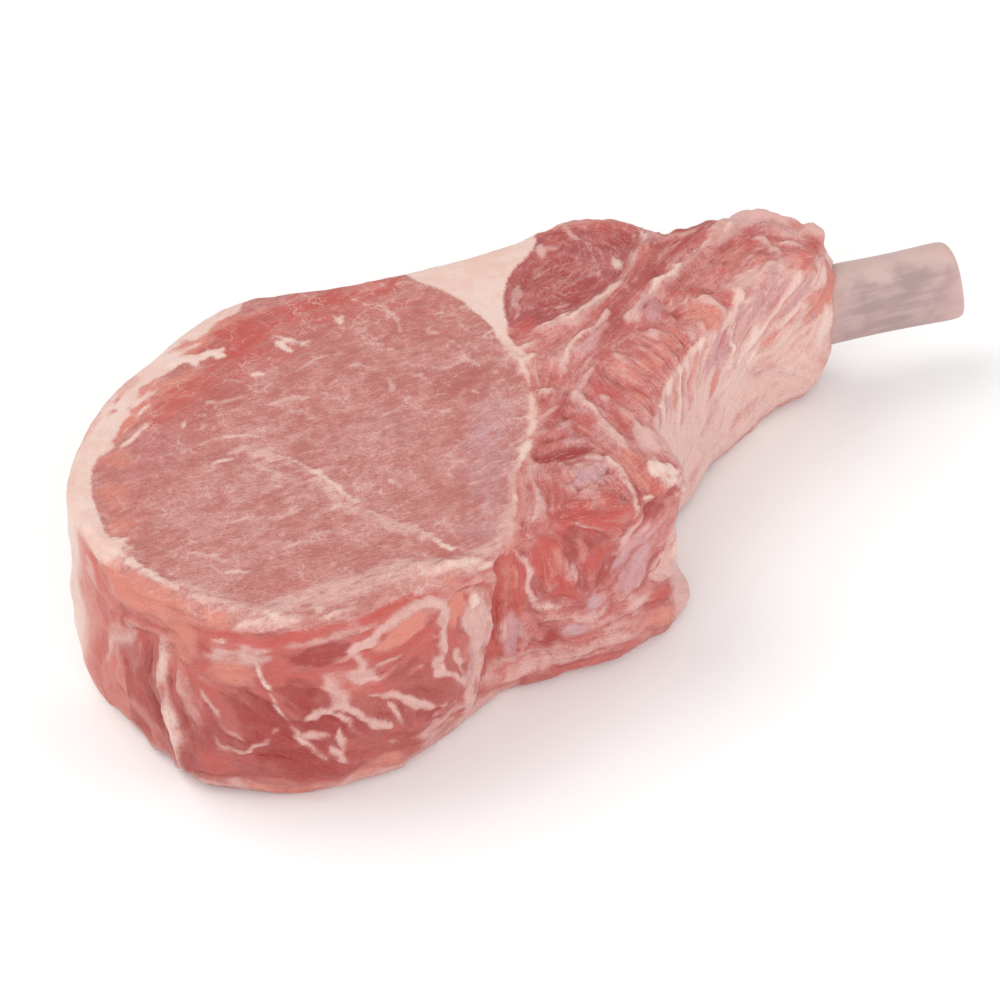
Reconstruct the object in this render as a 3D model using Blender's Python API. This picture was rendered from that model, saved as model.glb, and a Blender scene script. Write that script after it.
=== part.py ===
"""A raw bone-in pork rib chop: a thick cut slab of meat with one frenched rib.

The slab is skinned from level rings, cut along the natural seams into its muscles and its fat, and
bored for the rib. Every muscle and every layer of fat runs through the whole thickness.
"""

import math

import bmesh
import bpy
from mathutils import Vector

# ---- Driving dimensions, in millimetres ----
MM = 0.001
THICKNESS = 39.0            # between the two cut faces
SEAM_GAP = 0.3              # clearance between neighbouring pieces
RIB_TIP = 95.0              # where the bare rib ends along X, on the plan
RIB_TIP_SLANT = 0.2         # the sawn tip leans back this much for each mm of height
RIB_TIP_REACH = 12.0        # the lean fades out this far behind the tip
RIB_WIDTH = 9.8             # across the rib, level with the board
RIB_HEIGHT = 17.4           # the rib's depth, upright
FOOT_ROUND = 1.6            # how far the lower edge tucks in where it meets the board
PLAN_CENTRE = (2.6, -1.2)   # middle of the finished chop's box, on the plan

# Plan of the upper crest, anticlockwise from the blunt left end:
# x, y, how far the wall's waist stands out, how far its foot stands out.
CREST = [
    (-91.0, -3.0, 1.2, -1.6), (-90.5, -11.0, 1.2, -1.2), (-88.5, -19.0, 1.4, -1.2),
    (-85.0, -26.0, 1.6, -0.4), (-81.0, -32.0, 1.6, 1.0), (-76.5, -37.5, 1.8, 2.8),
    (-71.0, -42.0, 1.6, 2.0), (-64.0, -45.3, 1.6, 2.0), (-56.0, -46.3, 1.4, 1.9),
    (-48.0, -46.0, 1.2, 1.6), (-40.0, -44.8, 1.2, 0.0), (-33.0, -43.5, 1.2, -1.6),
    (-27.0, -41.5, 1.0, -3.2), (-21.0, -39.0, 1.0, -3.8), (-13.0, -37.5, 1.2, -2.8),
    (-4.0, -36.5, 1.2, -2.9), (3.0, -35.5, 1.0, -2.6), (9.0, -33.0, 1.0, -2.6),
    (12.5, -29.0, 0.8, -1.2), (13.0, -23.0, 0.4, 1.4), (13.8, -16.5, 0.0, 1.2),
    (16.0, -11.0, 0.0, 1.8), (20.0, -5.0, 0.0, 1.6), (25.0, 0.0, 0.2, 1.0),
    (31.0, 5.5, 0.6, 0.2), (37.0, 10.5, 1.0, -0.4), (44.0, 15.0, 1.4, -1.0),
    (51.0, 19.0, 2.0, -1.4), (58.0, 22.0, 3.2, -2.6), (62.0, 26.0, 5.4, -0.6),
    (61.5, 31.5, 7.2, 2.8), (58.5, 37.0, 5.0, 2.0), (54.0, 39.3, 2.2, 0.4),
    (47.0, 36.8, 1.4, 0.0), (40.0, 36.0, 1.2, 0.0), (35.5, 37.3, 1.2, -0.5),
    (33.0, 40.8, 1.2, -0.9), (28.5, 44.3, 1.4, -1.4), (22.0, 47.0, 1.4, -1.5),
    (16.5, 45.5, 1.2, -1.3), (10.0, 44.0, 1.2, -1.0), (0.0, 42.4, 1.2, -0.6),
    (-10.0, 41.4, 1.2, -0.6), (-20.0, 41.6, 1.2, -0.7), (-30.0, 42.3, 1.2, -0.8),
    (-39.0, 43.3, 1.2, -1.2), (-48.0, 42.5, 1.4, -1.5), (-56.0, 39.0, 1.4, -1.3),
    (-64.0, 33.2, 1.4, -1.2), (-72.0, 27.5, 1.4, -1.4), (-79.0, 20.5, 1.4, -1.2),
    (-84.5, 12.5, 1.4, -1.2), (-88.8, 4.5, 1.4, -1.4),
]
COLUMNS_PER_POINT = 3
LEVELS = (0.0, 1.3, 4.0, 10.0, 19.5, 29.0, 34.6, 37.6, 39.0)

# Soft hollows (negative) and swells of the upper face: x, y, spread, height.
RELIEF = [
    (-45.0, -2.0, 20.0, -1.3), (-66.0, -14.0, 12.0, -0.4), (-2.0, 20.0, 7.0, -0.7),
    (5.0, -9.0, 8.0, -1.3), (-3.0, -26.0, 6.0, -0.5), (22.0, 35.0, 8.0, -0.2),
    (40.0, 24.0, 9.0, -0.6), (62.0, 31.0, 7.0, -1.8),
]
RELIEF_CELL = 8.0

# Local swells (positive) and hollows of the wall: x, y, height, spread, how far it stands out.
WALL_RELIEF = [
    (15.0, -22.0, 3.0, 5.5, 4.6), (14.0, -19.0, 22.0, 7.0, -1.6), (-30.0, -42.0, 36.0, 4.0, 0.8),
    (-24.0, -40.0, 14.0, 6.0, -1.0), (-78.0, -36.0, 12.0, 7.0, 0.6), (13.0, -30.0, 36.0, 4.0, 0.8),
]

# The seams on the plan. Each starts and ends in the open or inside a seam cut before it.
SEAMS = {
    "eye_to_fat_cap": [
        (-43, 52), (-46.5, 41), (-53, 37), (-55.5, 32), (-61, 29), (-66, 26), (-70, 19),
        (-78, 11), (-83, 6), (-86, -1), (-86.5, -10), (-85.5, -17), (-87, -23), (-97, -28),
    ],
    "eye_to_seam_fat": [
        (-16, 52), (-13.5, 40), (-10, 34), (-6.5, 29), (-4.2, 24), (-3.6, 17), (-3.4, 10),
        (-4.4, 3), (-6, -4), (-8.6, -10), (-12, -16), (-16.5, -24), (-19.5, -31),
        (-23, -38), (-25, -52),
    ],
    "seam_fat_to_cap": [
        (14, 54), (12.2, 42), (8, 38), (4, 34), (0.6, 28), (-1.0, 22), (-1.1, 17), (-0.9, 10),
        (-1.8, 3), (-3.2, -4), (-5.8, -10), (-9.2, -16), (-13.7, -24), (-16.6, -31),
        (-19.6, -38), (-21, -52),
    ],
    "cap_to_rib_meat": [
        (-1.1, 19.5), (2, 19.2), (7, 17.8), (13, 19.5), (19, 23), (24, 28), (30, 33),
        (34, 37.5), (39, 50),
    ],
    "rib_meat_to_chine": [
        (-2.2, 0.5), (0.5, -1.4), (3, -4), (4.5, -8.5), (6.5, -13), (9.5, -16), (13, -17.5),
        (30, -21),
    ],
}
SEAM_STEP = 3               # short straight stretches per seam point

# Middle line of the rib, from the sawn tip to its hidden inner end:
# x, y, height above the board, width and height as a share of the full rib.
RIB = [
    (RIB_TIP, 29.6, 18.6, 0.80, 0.86), (RIB_TIP - 0.7, 29.6, 18.6, 0.97, 0.97),
    (RIB_TIP - 3, 29.6, 18.7, 1.02, 1.01), (86, 29.6, 18.8, 1.0, 0.98),
    (78, 29.6, 18.9, 0.97, 0.97), (70, 29.6, 19.0, 0.98, 0.99), (62, 29.2, 19.0, 1.0, 1.0),
    (54, 27.2, 19.0, 1.0, 1.0), (46, 24.0, 19.0, 0.96, 1.0), (38, 19.6, 18.8, 0.92, 0.98),
    (31, 14.2, 18.5, 0.86, 0.94), (27, 10.4, 18.4, 0.60, 0.70),
]
RIB_SIDES = 24
RIB_SQUARENESS = 2.5        # 2 is an ellipse, more is boxier

# A point of each piece on the plan, by which the cut pieces get their names.
PIECES = {
    "eye_muscle": (-45, 0), "fat_cap": (-77, 19), "seam_fat": (-1, 36), "cap_muscle": (20, 36),
    "rib_meat": (40, 26), "chine_muscle": (0, -25),
}

# Colour, roughness of each piece.
FINISHES = {
    "eye_muscle": ((0.62, 0.30, 0.27), 0.38), "fat_cap": ((0.86, 0.68, 0.60), 0.40),
    "seam_fat": ((0.88, 0.70, 0.62), 0.40), "cap_muscle": ((0.52, 0.16, 0.15), 0.38),
    "rib_meat": ((0.66, 0.32, 0.28), 0.38), "chine_muscle": ((0.66, 0.30, 0.28), 0.38),
    "rib_bone": ((0.62, 0.52, 0.50), 0.42),
}


def clear_scene():
    for obj in list(bpy.data.objects):
        bpy.data.objects.remove(obj, do_unlink=True)


def to_metres(x, y, z):
    """A plan point and a height, in the finished chop's frame."""
    return Vector((x - PLAN_CENTRE[0], y - PLAN_CENTRE[1], z)) * MM


def curve_through(points, steps, closed):
    """Points of a Catmull-Rom curve, `steps` for each stretch between two given points."""
    count = len(points)
    ends = count if closed else count - 1
    found = []
    for i in range(ends):
        if closed:
            picks = [points[(i + k) % count] for k in (-1, 0, 1, 2)]
        else:
            picks = [points[min(max(i + k, 0), count - 1)] for k in (-1, 0, 1, 2)]
        before, start, end, after = (Vector(p) for p in picks)
        for step in range(steps):
            t = step / steps
            found.append(0.5 * (
                2 * start + (end - before) * t
                + (2 * before - 5 * start + 4 * end - after) * t**2
                + (3 * start - before - 3 * end + after) * t**3
            ))
    if not closed:
        found.append(Vector(points[-1]))
    return found


def skin(bm, rings):
    """Closes a stack of rings of equal length into a solid, and returns its first and last face."""
    loops = [[bm.verts.new(point) for point in ring] for ring in rings]
    for lower, upper in zip(loops, loops[1:]):
        for i in range(len(lower)):
            j = (i + 1) % len(lower)
            bm.faces.new((lower[i], lower[j], upper[j], upper[i]))
    first = bm.faces.new(loops[0][::-1])
    last = bm.faces.new(loops[-1])
    return first, last


def mesh_object(name, bm):
    bmesh.ops.recalc_face_normals(bm, faces=bm.faces)
    mesh = bpy.data.meshes.new(name)
    bm.to_mesh(mesh)
    bm.free()
    obj = bpy.data.objects.new(name, mesh)
    bpy.context.collection.objects.link(obj)
    return obj


def make_guide(obj):
    obj.hide_render = True
    obj.display_type = "WIRE"


def relief(x, y):
    """How far the upper face lies above (or, mostly, below) the full thickness here."""
    return sum(
        height * math.exp(-((x - cx) ** 2 + (y - cy) ** 2) / (2 * spread**2))
        for cx, cy, spread, height in RELIEF
    )


def wall_offset(x, y, level, waist, foot, turn):
    """How far the wall stands out from the crest at this height, with a slow unevenness."""
    share = level / THICKNESS
    round_out = math.sqrt(max(0.0, 1 - (2 * share - 1) ** 2))
    lean = 1 - share**3.5
    tuck = FOOT_ROUND * max(0.0, 1 - level / 4.0) ** 2
    uneven = 0.35 * math.sin(11 * turn + 5 * share) + 0.25 * math.sin(23 * turn - 7 * share)
    local = sum(
        height * math.exp(-((x - cx) ** 2 + (y - cy) ** 2 + (level - cz) ** 2) / (2 * spread**2))
        for cx, cy, cz, spread, height in WALL_RELIEF
    )
    return (waist + uneven) * round_out + foot * lean - tuck + local


def slab():
    """The whole chop without its rib: rings from the board up, and a softly uneven upper face."""
    crest = curve_through(CREST, COLUMNS_PER_POINT, closed=True)
    count = len(crest)
    rings = []
    for level in LEVELS:
        ring = []
        for i, (x, y, waist, foot) in enumerate(crest):
            along = crest[(i + 1) % count].xy - crest[i - 1].xy
            outward = Vector((along.y, -along.x)).normalized()
            offset = wall_offset(x, y, level, waist, foot, math.tau * i / count)
            ring.append(to_metres(x + outward.x * offset, y + outward.y * offset, level))
        rings.append(ring)
    bm = bmesh.new()
    skin(bm, rings)
    divide_upper_face(bm)
    for vert in bm.verts:
        x, y = vert.co.x / MM + PLAN_CENTRE[0], vert.co.y / MM + PLAN_CENTRE[1]
        vert.co.z *= 1 + relief(x, y) / THICKNESS
    return mesh_object("slab", bm)


def divide_upper_face(bm):
    """Cuts the flat upper face into cells, so that it can be given relief."""
    for axis, reach in ((Vector((1, 0, 0)), 12), (Vector((0, 1, 0)), 6)):
        for k in range(-reach, reach):
            upper = [f for f in bm.faces if all(v.co.z > (THICKNESS - 0.1) * MM for v in f.verts)]
            edges = {e for f in upper for e in f.edges}
            corners = {v for f in upper for v in f.verts}
            bmesh.ops.bisect_plane(
                bm, geom=upper + list(edges) + list(corners), dist=1e-5,
                plane_co=axis * (k + 0.5) * RELIEF_CELL * MM, plane_no=axis,
            )


def seam_cutter(name, points):
    """An upright ribbon as thick as the gap, which follows one seam from below to above the slab."""
    bm = bmesh.new()
    line = curve_through([(x, y, 0) for x, y in points], SEAM_STEP, closed=False)
    lower = [bm.verts.new(to_metres(p.x, p.y, -5)) for p in line]
    edges = [bm.edges.new(pair) for pair in zip(lower, lower[1:])]
    raised = bmesh.ops.extrude_edge_only(bm, edges=edges)["geom"]
    for vert in raised:
        if isinstance(vert, bmesh.types.BMVert):
            vert.co.z += (THICKNESS + 10) * MM
    cutter = mesh_object(name, bm)
    make_guide(cutter)
    thick = cutter.modifiers.new("thickness", "SOLIDIFY")
    thick.thickness = SEAM_GAP * MM
    thick.offset = 0
    thick.use_even_offset = True
    return cutter


def rib(name, clearance):
    """The rib as a rounded bar along its middle line, thicker all round by the clearance."""
    middle = curve_through(RIB, 2, closed=False)
    rings = []
    for i, point in enumerate(middle):
        x, y, z, wide, high = point
        along = (middle[min(i + 1, len(middle) - 1)].xyz - middle[max(i - 1, 0)].xyz).normalized()
        side = Vector((along.y, -along.x, 0)).normalized()
        ring = []
        for k in range(RIB_SIDES):
            turn = math.tau * k / RIB_SIDES
            c, s = math.cos(turn), math.sin(turn)
            across = math.copysign(abs(c) ** (2 / RIB_SQUARENESS), c)
            up = math.copysign(abs(s) ** (2 / RIB_SQUARENESS), s)
            offset = side * across * (RIB_WIDTH / 2 * wide + clearance)
            lift = up * (RIB_HEIGHT / 2 * high + clearance)
            lean = RIB_TIP_SLANT * lift * max(0.0, 1 - (RIB_TIP - x) / RIB_TIP_REACH)
            ring.append(to_metres(x + offset.x - lean, y + offset.y, z + lift))
        rings.append(ring)
    bm = bmesh.new()
    skin(bm, rings)
    return mesh_object(name, bm)


def cut(body, cutter):
    """Takes the cutter out of the body for good. Both are closed, and a seam may start in a gap
    that an earlier seam left, which the MANIFOLD solver takes without fault."""
    boolean = body.modifiers.new(cutter.name, "BOOLEAN")
    boolean.operation = "DIFFERENCE"
    boolean.solver = "MANIFOLD"
    boolean.object = cutter
    bpy.context.view_layer.objects.active = body
    bpy.ops.object.modifier_apply(modifier=boolean.name)


def separate(body):
    """The body's loose pieces, each as its own object."""
    bpy.ops.object.select_all(action="DESELECT")
    body.select_set(True)
    bpy.context.view_layer.objects.active = body
    bpy.ops.mesh.separate(type="LOOSE")
    return list(bpy.context.selected_objects)


def name_pieces(loose):
    """Names each loose piece after the point of the plan that it lies under."""
    for name, (x, y) in PIECES.items():
        above = to_metres(x, y, 2 * THICKNESS)
        piece = next(obj for obj in loose if obj.ray_cast(above, Vector((0, 0, -1)))[0])
        piece.name = name
        piece.data.name = name


def paint(obj):
    colour, roughness = FINISHES[obj.name]
    material = bpy.data.materials.new(obj.name)
    material.use_nodes = True
    shader = material.node_tree.nodes["Principled BSDF"]
    shader.inputs["Base Color"].default_value = (*colour, 1)
    shader.inputs["Roughness"].default_value = roughness
    shader.inputs["Metallic"].default_value = 0
    obj.data.materials.clear()
    obj.data.materials.append(material)
    obj.data.shade_smooth()
    obj.data.set_sharp_from_angle(angle=math.radians(40))


def main():
    clear_scene()
    body = slab()
    for name, points in SEAMS.items():
        cut(body, seam_cutter(name, points))
    bore = rib("rib_bore", SEAM_GAP)
    make_guide(bore)
    pieces = separate(body)
    name_pieces(pieces)
    cut(bpy.data.objects["rib_meat"], bore)
    for piece in pieces + [rib("rib_bone", 0)]:
        paint(piece)


main()
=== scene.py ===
# %% [markdown]
# A raw pork rib chop, cut thick, with one scraped rib. The CAD gives its outline, its muscles and
# its layers of fat as plain faceted solids. Here they become meat: first one seamless block of fine
# mesh, then the folds, streaks and lumps, then the cuts along the natural seams, then the finishes.

# %% Load the frame
import math
from functools import partial

import bmesh
import bpy
import numpy as np
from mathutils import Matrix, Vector
from mathutils.bvhtree import BVHTree
from mathutils.kdtree import KDTree


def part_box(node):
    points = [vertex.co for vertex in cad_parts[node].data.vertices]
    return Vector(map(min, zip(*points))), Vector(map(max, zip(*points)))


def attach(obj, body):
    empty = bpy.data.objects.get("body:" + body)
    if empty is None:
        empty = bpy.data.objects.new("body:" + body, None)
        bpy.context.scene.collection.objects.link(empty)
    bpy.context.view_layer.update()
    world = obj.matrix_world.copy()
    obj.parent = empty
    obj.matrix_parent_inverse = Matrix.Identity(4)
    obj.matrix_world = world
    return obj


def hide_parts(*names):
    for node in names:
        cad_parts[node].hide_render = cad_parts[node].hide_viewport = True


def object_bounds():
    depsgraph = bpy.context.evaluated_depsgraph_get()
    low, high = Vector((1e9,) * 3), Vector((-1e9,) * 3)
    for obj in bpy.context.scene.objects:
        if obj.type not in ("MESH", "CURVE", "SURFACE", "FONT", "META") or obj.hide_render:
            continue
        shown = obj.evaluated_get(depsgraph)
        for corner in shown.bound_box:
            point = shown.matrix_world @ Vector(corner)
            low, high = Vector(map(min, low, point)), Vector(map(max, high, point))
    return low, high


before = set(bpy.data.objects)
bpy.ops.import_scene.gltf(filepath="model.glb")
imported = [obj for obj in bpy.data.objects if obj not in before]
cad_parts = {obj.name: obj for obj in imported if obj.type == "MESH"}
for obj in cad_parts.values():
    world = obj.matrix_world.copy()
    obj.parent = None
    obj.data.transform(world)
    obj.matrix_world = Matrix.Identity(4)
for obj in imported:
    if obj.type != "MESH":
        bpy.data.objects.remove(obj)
cad_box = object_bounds()
MM = 0.001
low, high = (np.array(corner) / MM for corner in cad_box)
middle = (low + high) / 2
print("CAD box in mm:", low.round(2), high.round(2))

# %% [markdown]
# The chop lies on a pale floor under broad soft light, seen from a little above and slightly from the
# left. A long lens from about 70 cm keeps the near edge from swelling. The standard view transform
# shows the colours as they are mixed, which suits a subject on white.

# %% Camera, floor and light
AZIMUTH, ELEVATION, DISTANCE = math.radians(-19.5), math.radians(40.0), 690.0
AIM_OFFSET = (-14.1, -3.3, -0.5)
back = Vector((math.sin(AZIMUTH) * math.cos(ELEVATION), -math.cos(AZIMUTH) * math.cos(ELEVATION),
               math.sin(ELEVATION)))
target = Vector(middle + AIM_OFFSET) * MM
lens = bpy.data.cameras.new("camera")
lens.lens, lens.sensor_width = 136.62, 36.0
lens.clip_start, lens.clip_end = 0.01, 20.0
camera = bpy.data.objects.new("camera", lens)
camera.location = target + back * DISTANCE * MM
camera.rotation_euler = (-back).to_track_quat("-Z", "Y").to_euler()
bpy.context.scene.collection.objects.link(camera)
bpy.context.scene.camera = camera
bpy.context.scene.view_settings.view_transform = "Standard"


def lamp(name, power, size, place, colour=(1.0, 1.0, 1.0)):
    """A square area lamp, aimed at the middle of the chop."""
    light = bpy.data.lights.new(name, "AREA")
    light.energy, light.size, light.color = power, size, colour
    obj = bpy.data.objects.new(name, light)
    obj.location = place
    obj.rotation_euler = (target - Vector(place)).to_track_quat("-Z", "Y").to_euler()
    bpy.context.scene.collection.objects.link(obj)


lamp("key_light", 10.0, 1.1, (-0.7, 0.5, 1.3), (1.0, 0.99, 0.97))
lamp("front_light", 9.0, 1.2, (-0.45, -1.3, 0.8))
lamp("side_light", 5.0, 1.0, (1.1, -0.8, 0.5))
world = bpy.data.worlds.new("studio")
world.use_nodes = True
world.node_tree.nodes["Background"].inputs["Color"].default_value = (1.0, 1.0, 1.0, 1.0)
world.node_tree.nodes["Background"].inputs["Strength"].default_value = 0.68
bpy.context.scene.world = world

bpy.ops.object.select_all(action="DESELECT")
BELOW_MEAT = 0.05
bpy.ops.mesh.primitive_plane_add(size=6.0, location=(0.0, 0.0, (float(low[2]) - BELOW_MEAT) * MM))
floor = bpy.context.active_object
floor.name = "floor"
bpy.ops.object.transform_apply(location=True, rotation=False, scale=False)

# %% [markdown]
# Muscle, fat and bone share one way of mixing their colours, so the node work is written once. A
# `Wire` is a socket that can be used in sums: `1 - wire * 2` adds the Math nodes that do it. A
# `Finish` is one material, and its `add` makes any other node from its settings and its sockets.


# %% Nodes as sums
class Wire:
    """An output socket. Arithmetic on it adds Math nodes."""

    def __init__(self, finish, socket):
        self.finish, self.socket = finish, socket

    def math(self, operation, *values):
        return self.finish.add("ShaderNodeMath", {"operation": operation}, dict(enumerate(values)))

    def __add__(self, other):
        return self.math("ADD", self, other)

    def __sub__(self, other):
        return self.math("SUBTRACT", self, other)

    def __rsub__(self, other):
        return self.math("SUBTRACT", other, self)

    def __mul__(self, other):
        return self.math("MULTIPLY", self, other)

    __radd__, __rmul__ = __add__, __mul__


class Finish:
    """A material with one Principled shader."""

    SMEAR_STEPS = 7

    def __init__(self, name):
        self.material = bpy.data.materials.new(name)
        self.material.use_nodes = True
        self.tree = self.material.node_tree
        self.shader = self.tree.nodes["Principled BSDF"]

    def set(self, target, value):
        """Gives a socket a link or a constant."""
        if isinstance(value, Wire):
            self.tree.links.new(value.socket, target)
        elif target.type == "RGBA" and len(value) == 3:
            target.default_value = (*value, 1.0)
        else:
            target.default_value = value

    def add(self, kind, settings=None, sockets=None, out=0):
        """A new node with these settings and sockets; the result is one of its outputs."""
        node = self.tree.nodes.new(kind)
        for key, value in (settings or {}).items():
            setattr(node, key, value)
        for key, value in (sockets or {}).items():
            self.set(node.inputs[key], value)
        return Wire(self, node.outputs[out])

    def mix(self, first, second, share):
        sockets = {0: share, 6: first, 7: second}
        return self.add("ShaderNodeMix", {"data_type": "RGBA"}, sockets, 2)

    def step(self, value, start, end):
        """0 below start, 1 above end, and smooth between."""
        sockets = {"Value": value, "From Min": start, "From Max": end}
        return self.add("ShaderNodeMapRange", {"interpolation_type": "SMOOTHSTEP"}, sockets)

    def painted(self, name):
        return self.add("ShaderNodeAttribute", {"attribute_name": name}, None, "Fac")

    def place(self):
        """The piece's own coordinates."""
        return self.add("ShaderNodeTexCoord", None, None, "Object")

    def shifted(self, place, way, amount):
        """Coordinates moved along a direction, by amount millimetres for each unit of it."""
        sockets = {0: way, 1: (amount * MM,) * 3, 2: place}
        return self.add("ShaderNodeVectorMath", {"operation": "MULTIPLY_ADD"}, sockets)

    def grain(self, where, size, detail=2.0, rough=0.5):
        """Cloudy noise from 0 to 1, with features about size millimetres across."""
        sockets = {"Vector": where, "Scale": 1.0 / (size * MM), "Detail": detail, "Roughness": rough}
        return self.add("ShaderNodeTexNoise", None, sockets)

    def combed(self, size, reach):
        """Noise smeared along the painted direction of the fibres, as 0 to 1 with most of it near 0.5."""
        place = self.place()
        way = self.add("ShaderNodeAttribute", {"attribute_name": "comb"}, None, "Vector")
        total = 0.0
        for share in np.linspace(-1, 1, self.SMEAR_STEPS):
            total = self.grain(self.shifted(place, way, float(share) * reach), size, 1.0) + total
        return total * (1 / self.SMEAR_STEPS)

    def veins(self, size, width):
        """A web of thin lines between cells about size millimetres across: 1 on a line, 0 off it."""
        place = self.place()
        sockets = {"Vector": place, "Scale": 1.0 / (size * 0.6 * MM), "Detail": 2.0}
        wave = self.add("ShaderNodeTexNoise", None, sockets, "Color")
        sockets = {"Vector": self.shifted(place, wave, size * 1.3), "Scale": 1.0 / (size * MM)}
        edge = self.add("ShaderNodeTexVoronoi", {"feature": "DISTANCE_TO_EDGE"}, sockets, "Distance")
        return self.step(edge, width / size * 0.5, 0.0)

    def feed(self, **sockets):
        for name, value in sockets.items():
            self.set(self.shader.inputs[name.replace("_", " ")], value)


LIGHT = 1.18


def seen(*screen):
    """The surface colour that shows as these 0 to 255 screen values under this scene's light."""
    return tuple(((v / 255 + 0.055) / 1.055) ** 2.4 / LIGHT for v in screen)


paper = Finish("pale_floor")
paper.feed(Base_Color=(0.93, 0.93, 0.93), Roughness=0.9)
floor.data.materials.append(paper.material)

# %% [markdown]
# The six soft CAD solids meet along seams with a hair of air between them. Real muscles are stuck
# together there, so their copies are joined, swollen by a fifth of a millimetre so that the gaps
# close, and wrapped again by a voxel remesh. That gives one even skin of small faces over the whole
# block, with the hollow for the rib still in it. A smoothing pass takes the facets off.

# %% One seamless block of meat
MEAT = ["eye_muscle", "fat_cap", "seam_fat", "cap_muscle", "rib_meat", "chine_muscle"]
GRAIN = 0.5
SWELL = 0.2
SMOOTHINGS = 16


def only(*objects):
    """Selects just these objects; the first one becomes the active one."""
    if bpy.context.mode != "OBJECT":
        bpy.ops.object.mode_set(mode="OBJECT")
    bpy.ops.object.select_all(action="DESELECT")
    for obj in objects:
        obj.select_set(True)
    bpy.context.view_layer.objects.active = objects[0]


def apply(obj, kind, **settings):
    """Adds a modifier and applies it at once."""
    only(obj)
    modifier = obj.modifiers.new(kind.lower(), kind)
    for key, value in settings.items():
        setattr(modifier, key, value)
    bpy.ops.object.modifier_apply(modifier=modifier.name)


def traced(node):
    """A copy of a CAD node's mesh with its corners merged."""
    obj = bpy.data.objects.new("traced_" + node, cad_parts[node].data.copy())
    bpy.context.scene.collection.objects.link(obj)
    obj.data.materials.clear()
    only(obj)
    bpy.ops.object.mode_set(mode="EDIT")
    bpy.ops.mesh.select_all(action="SELECT")
    bpy.ops.mesh.remove_doubles(threshold=0.01 * MM)
    bpy.ops.object.mode_set(mode="OBJECT")
    return obj


block = [traced(node) for node in MEAT]
only(*block)
bpy.ops.object.join()
block = bpy.context.active_object
block.name = "block"
apply(block, "DISPLACE", strength=SWELL * MM, mid_level=0.0)
block.data.remesh_voxel_size = GRAIN * MM
only(block)
bpy.ops.object.voxel_remesh()
apply(block, "SMOOTH", factor=0.5, iterations=SMOOTHINGS)


def points_of(obj):
    """The mesh's points in millimetres."""
    flat = np.empty(len(obj.data.vertices) * 3, np.float32)
    obj.data.vertices.foreach_get("co", flat)
    return flat.reshape(-1, 3).astype(float) / MM


def normals_of(obj):
    flat = np.empty(len(obj.data.vertices) * 3, np.float32)
    obj.data.vertex_normals.foreach_get("vector", flat)
    return flat.reshape(-1, 3).astype(float)


# %% [markdown]
# The knife leaves a square edge at the back only. Along the front, round the chine and under the rib
# the crest is rounded over, as a modeller would do with a smoothing brush: a smoothing pass that
# works only near the upper edge, and has nothing to change on the flat of the cut face.

# %% Round the crest over
skin = points_of(block)
facing = normals_of(block)
CREST_FOOT, CREST_FULL = 29.0, 35.0
CREST_PASSES = 170 * (0.5 / GRAIN) ** 2
faces_back = np.clip(facing[:, 1] * 3, 0, 1)
near_crest = np.clip((skin[:, 2] - CREST_FOOT) / (CREST_FULL - CREST_FOOT), 0, 1) * (1 - 0.85 * faces_back)
group = block.vertex_groups.new(name="crest")
for i in np.flatnonzero(near_crest > 0.01):
    group.add([int(i)], float(near_crest[i]), "REPLACE")
apply(block, "SMOOTH", factor=0.5, iterations=round(CREST_PASSES), vertex_group="crest")
block.vertex_groups.clear()
skin = points_of(block)
facing = normals_of(block)
print("block:", len(skin), "points,", skin.min(0).round(2), skin.max(0).round(2))

# %% [markdown]
# Nothing on a piece of meat is straight. A little cloud noise, worked out at every point, bends every
# line that is drawn below and gives the skin its low unevenness. It is a plain value noise: random
# numbers on the corners of a grid, blended smoothly between them, the same on each run.


# %% Cloud noise
def corner_value(cell, seed):
    """A number from -1 to 1 for each grid corner."""
    x, y, z = (cell[:, i].astype(np.int64) for i in range(3))
    n = (x * 73856093) ^ (y * 19349663) ^ (z * 83492791) ^ (seed * 50331653)
    n = ((n ^ (n >> 13)) * 1274126177) & 0xFFFFFFFF
    n = ((n ^ (n >> 16)) * 2246822519) & 0xFFFFFFFF
    return ((n ^ (n >> 15)) & 0xFFFF) / 32767.5 - 1.0


def cloud(points, size, seed, octaves=2):
    """Smooth noise with features about size millimetres across."""
    total, share = np.zeros(len(points)), 1.0
    for octave in range(octaves):
        place = points / size * 2.0 ** octave
        cell = np.floor(place)
        part = place - cell
        part = part * part * (3 - 2 * part)
        for corner in range(8):
            offset = np.array([corner & 1, corner >> 1 & 1, corner >> 2])
            weight = np.where(offset, part, 1 - part).prod(axis=1)
            total += share * weight * corner_value(cell + offset, seed + octave * 7)
        share *= 0.5
    return total


def wander(points, size, seed):
    return np.stack([cloud(points, size, seed + i) for i in range(3)], axis=1)


bent = skin + 0.9 * wander(skin, 9.0, 11) + 0.28 * wander(skin, 2.2, 31)

# %% [markdown]
# The fat, the folds and the stains are painted on and modelled together, one mark after another, as
# a food stylist would build a model: each mark is a brush stroke along a few points with a width, a
# tone, an opacity, and how far it stands out of the surface (or sinks in). Points are given on the
# upper cut face by x and y, and on a side wall by x and height, and are then dropped onto the block.
# `top` and `front` only note the strokes down; they are laid on further below.
# Their values are the tone, half the width in millimetres, the opacity, the height, how softly the
# edge runs out, and then one or more lines. A stroke tapers towards its ends.

# %% The brush
TONES = ["fat", "red", "dark", "warm", "lilac", "film"]
tone = {name: np.zeros(len(skin)) for name in TONES}
height = np.full(len(skin), -SWELL)
corners_of_faces = [tuple(face.vertices) for face in block.data.polygons]
surface = BVHTree.FromPolygons([Vector(point) for point in skin], corners_of_faces)
FAR, CUT_FACE, FRONT_WALL = 200.0, 39.0, -50.0
strokes = []


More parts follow.
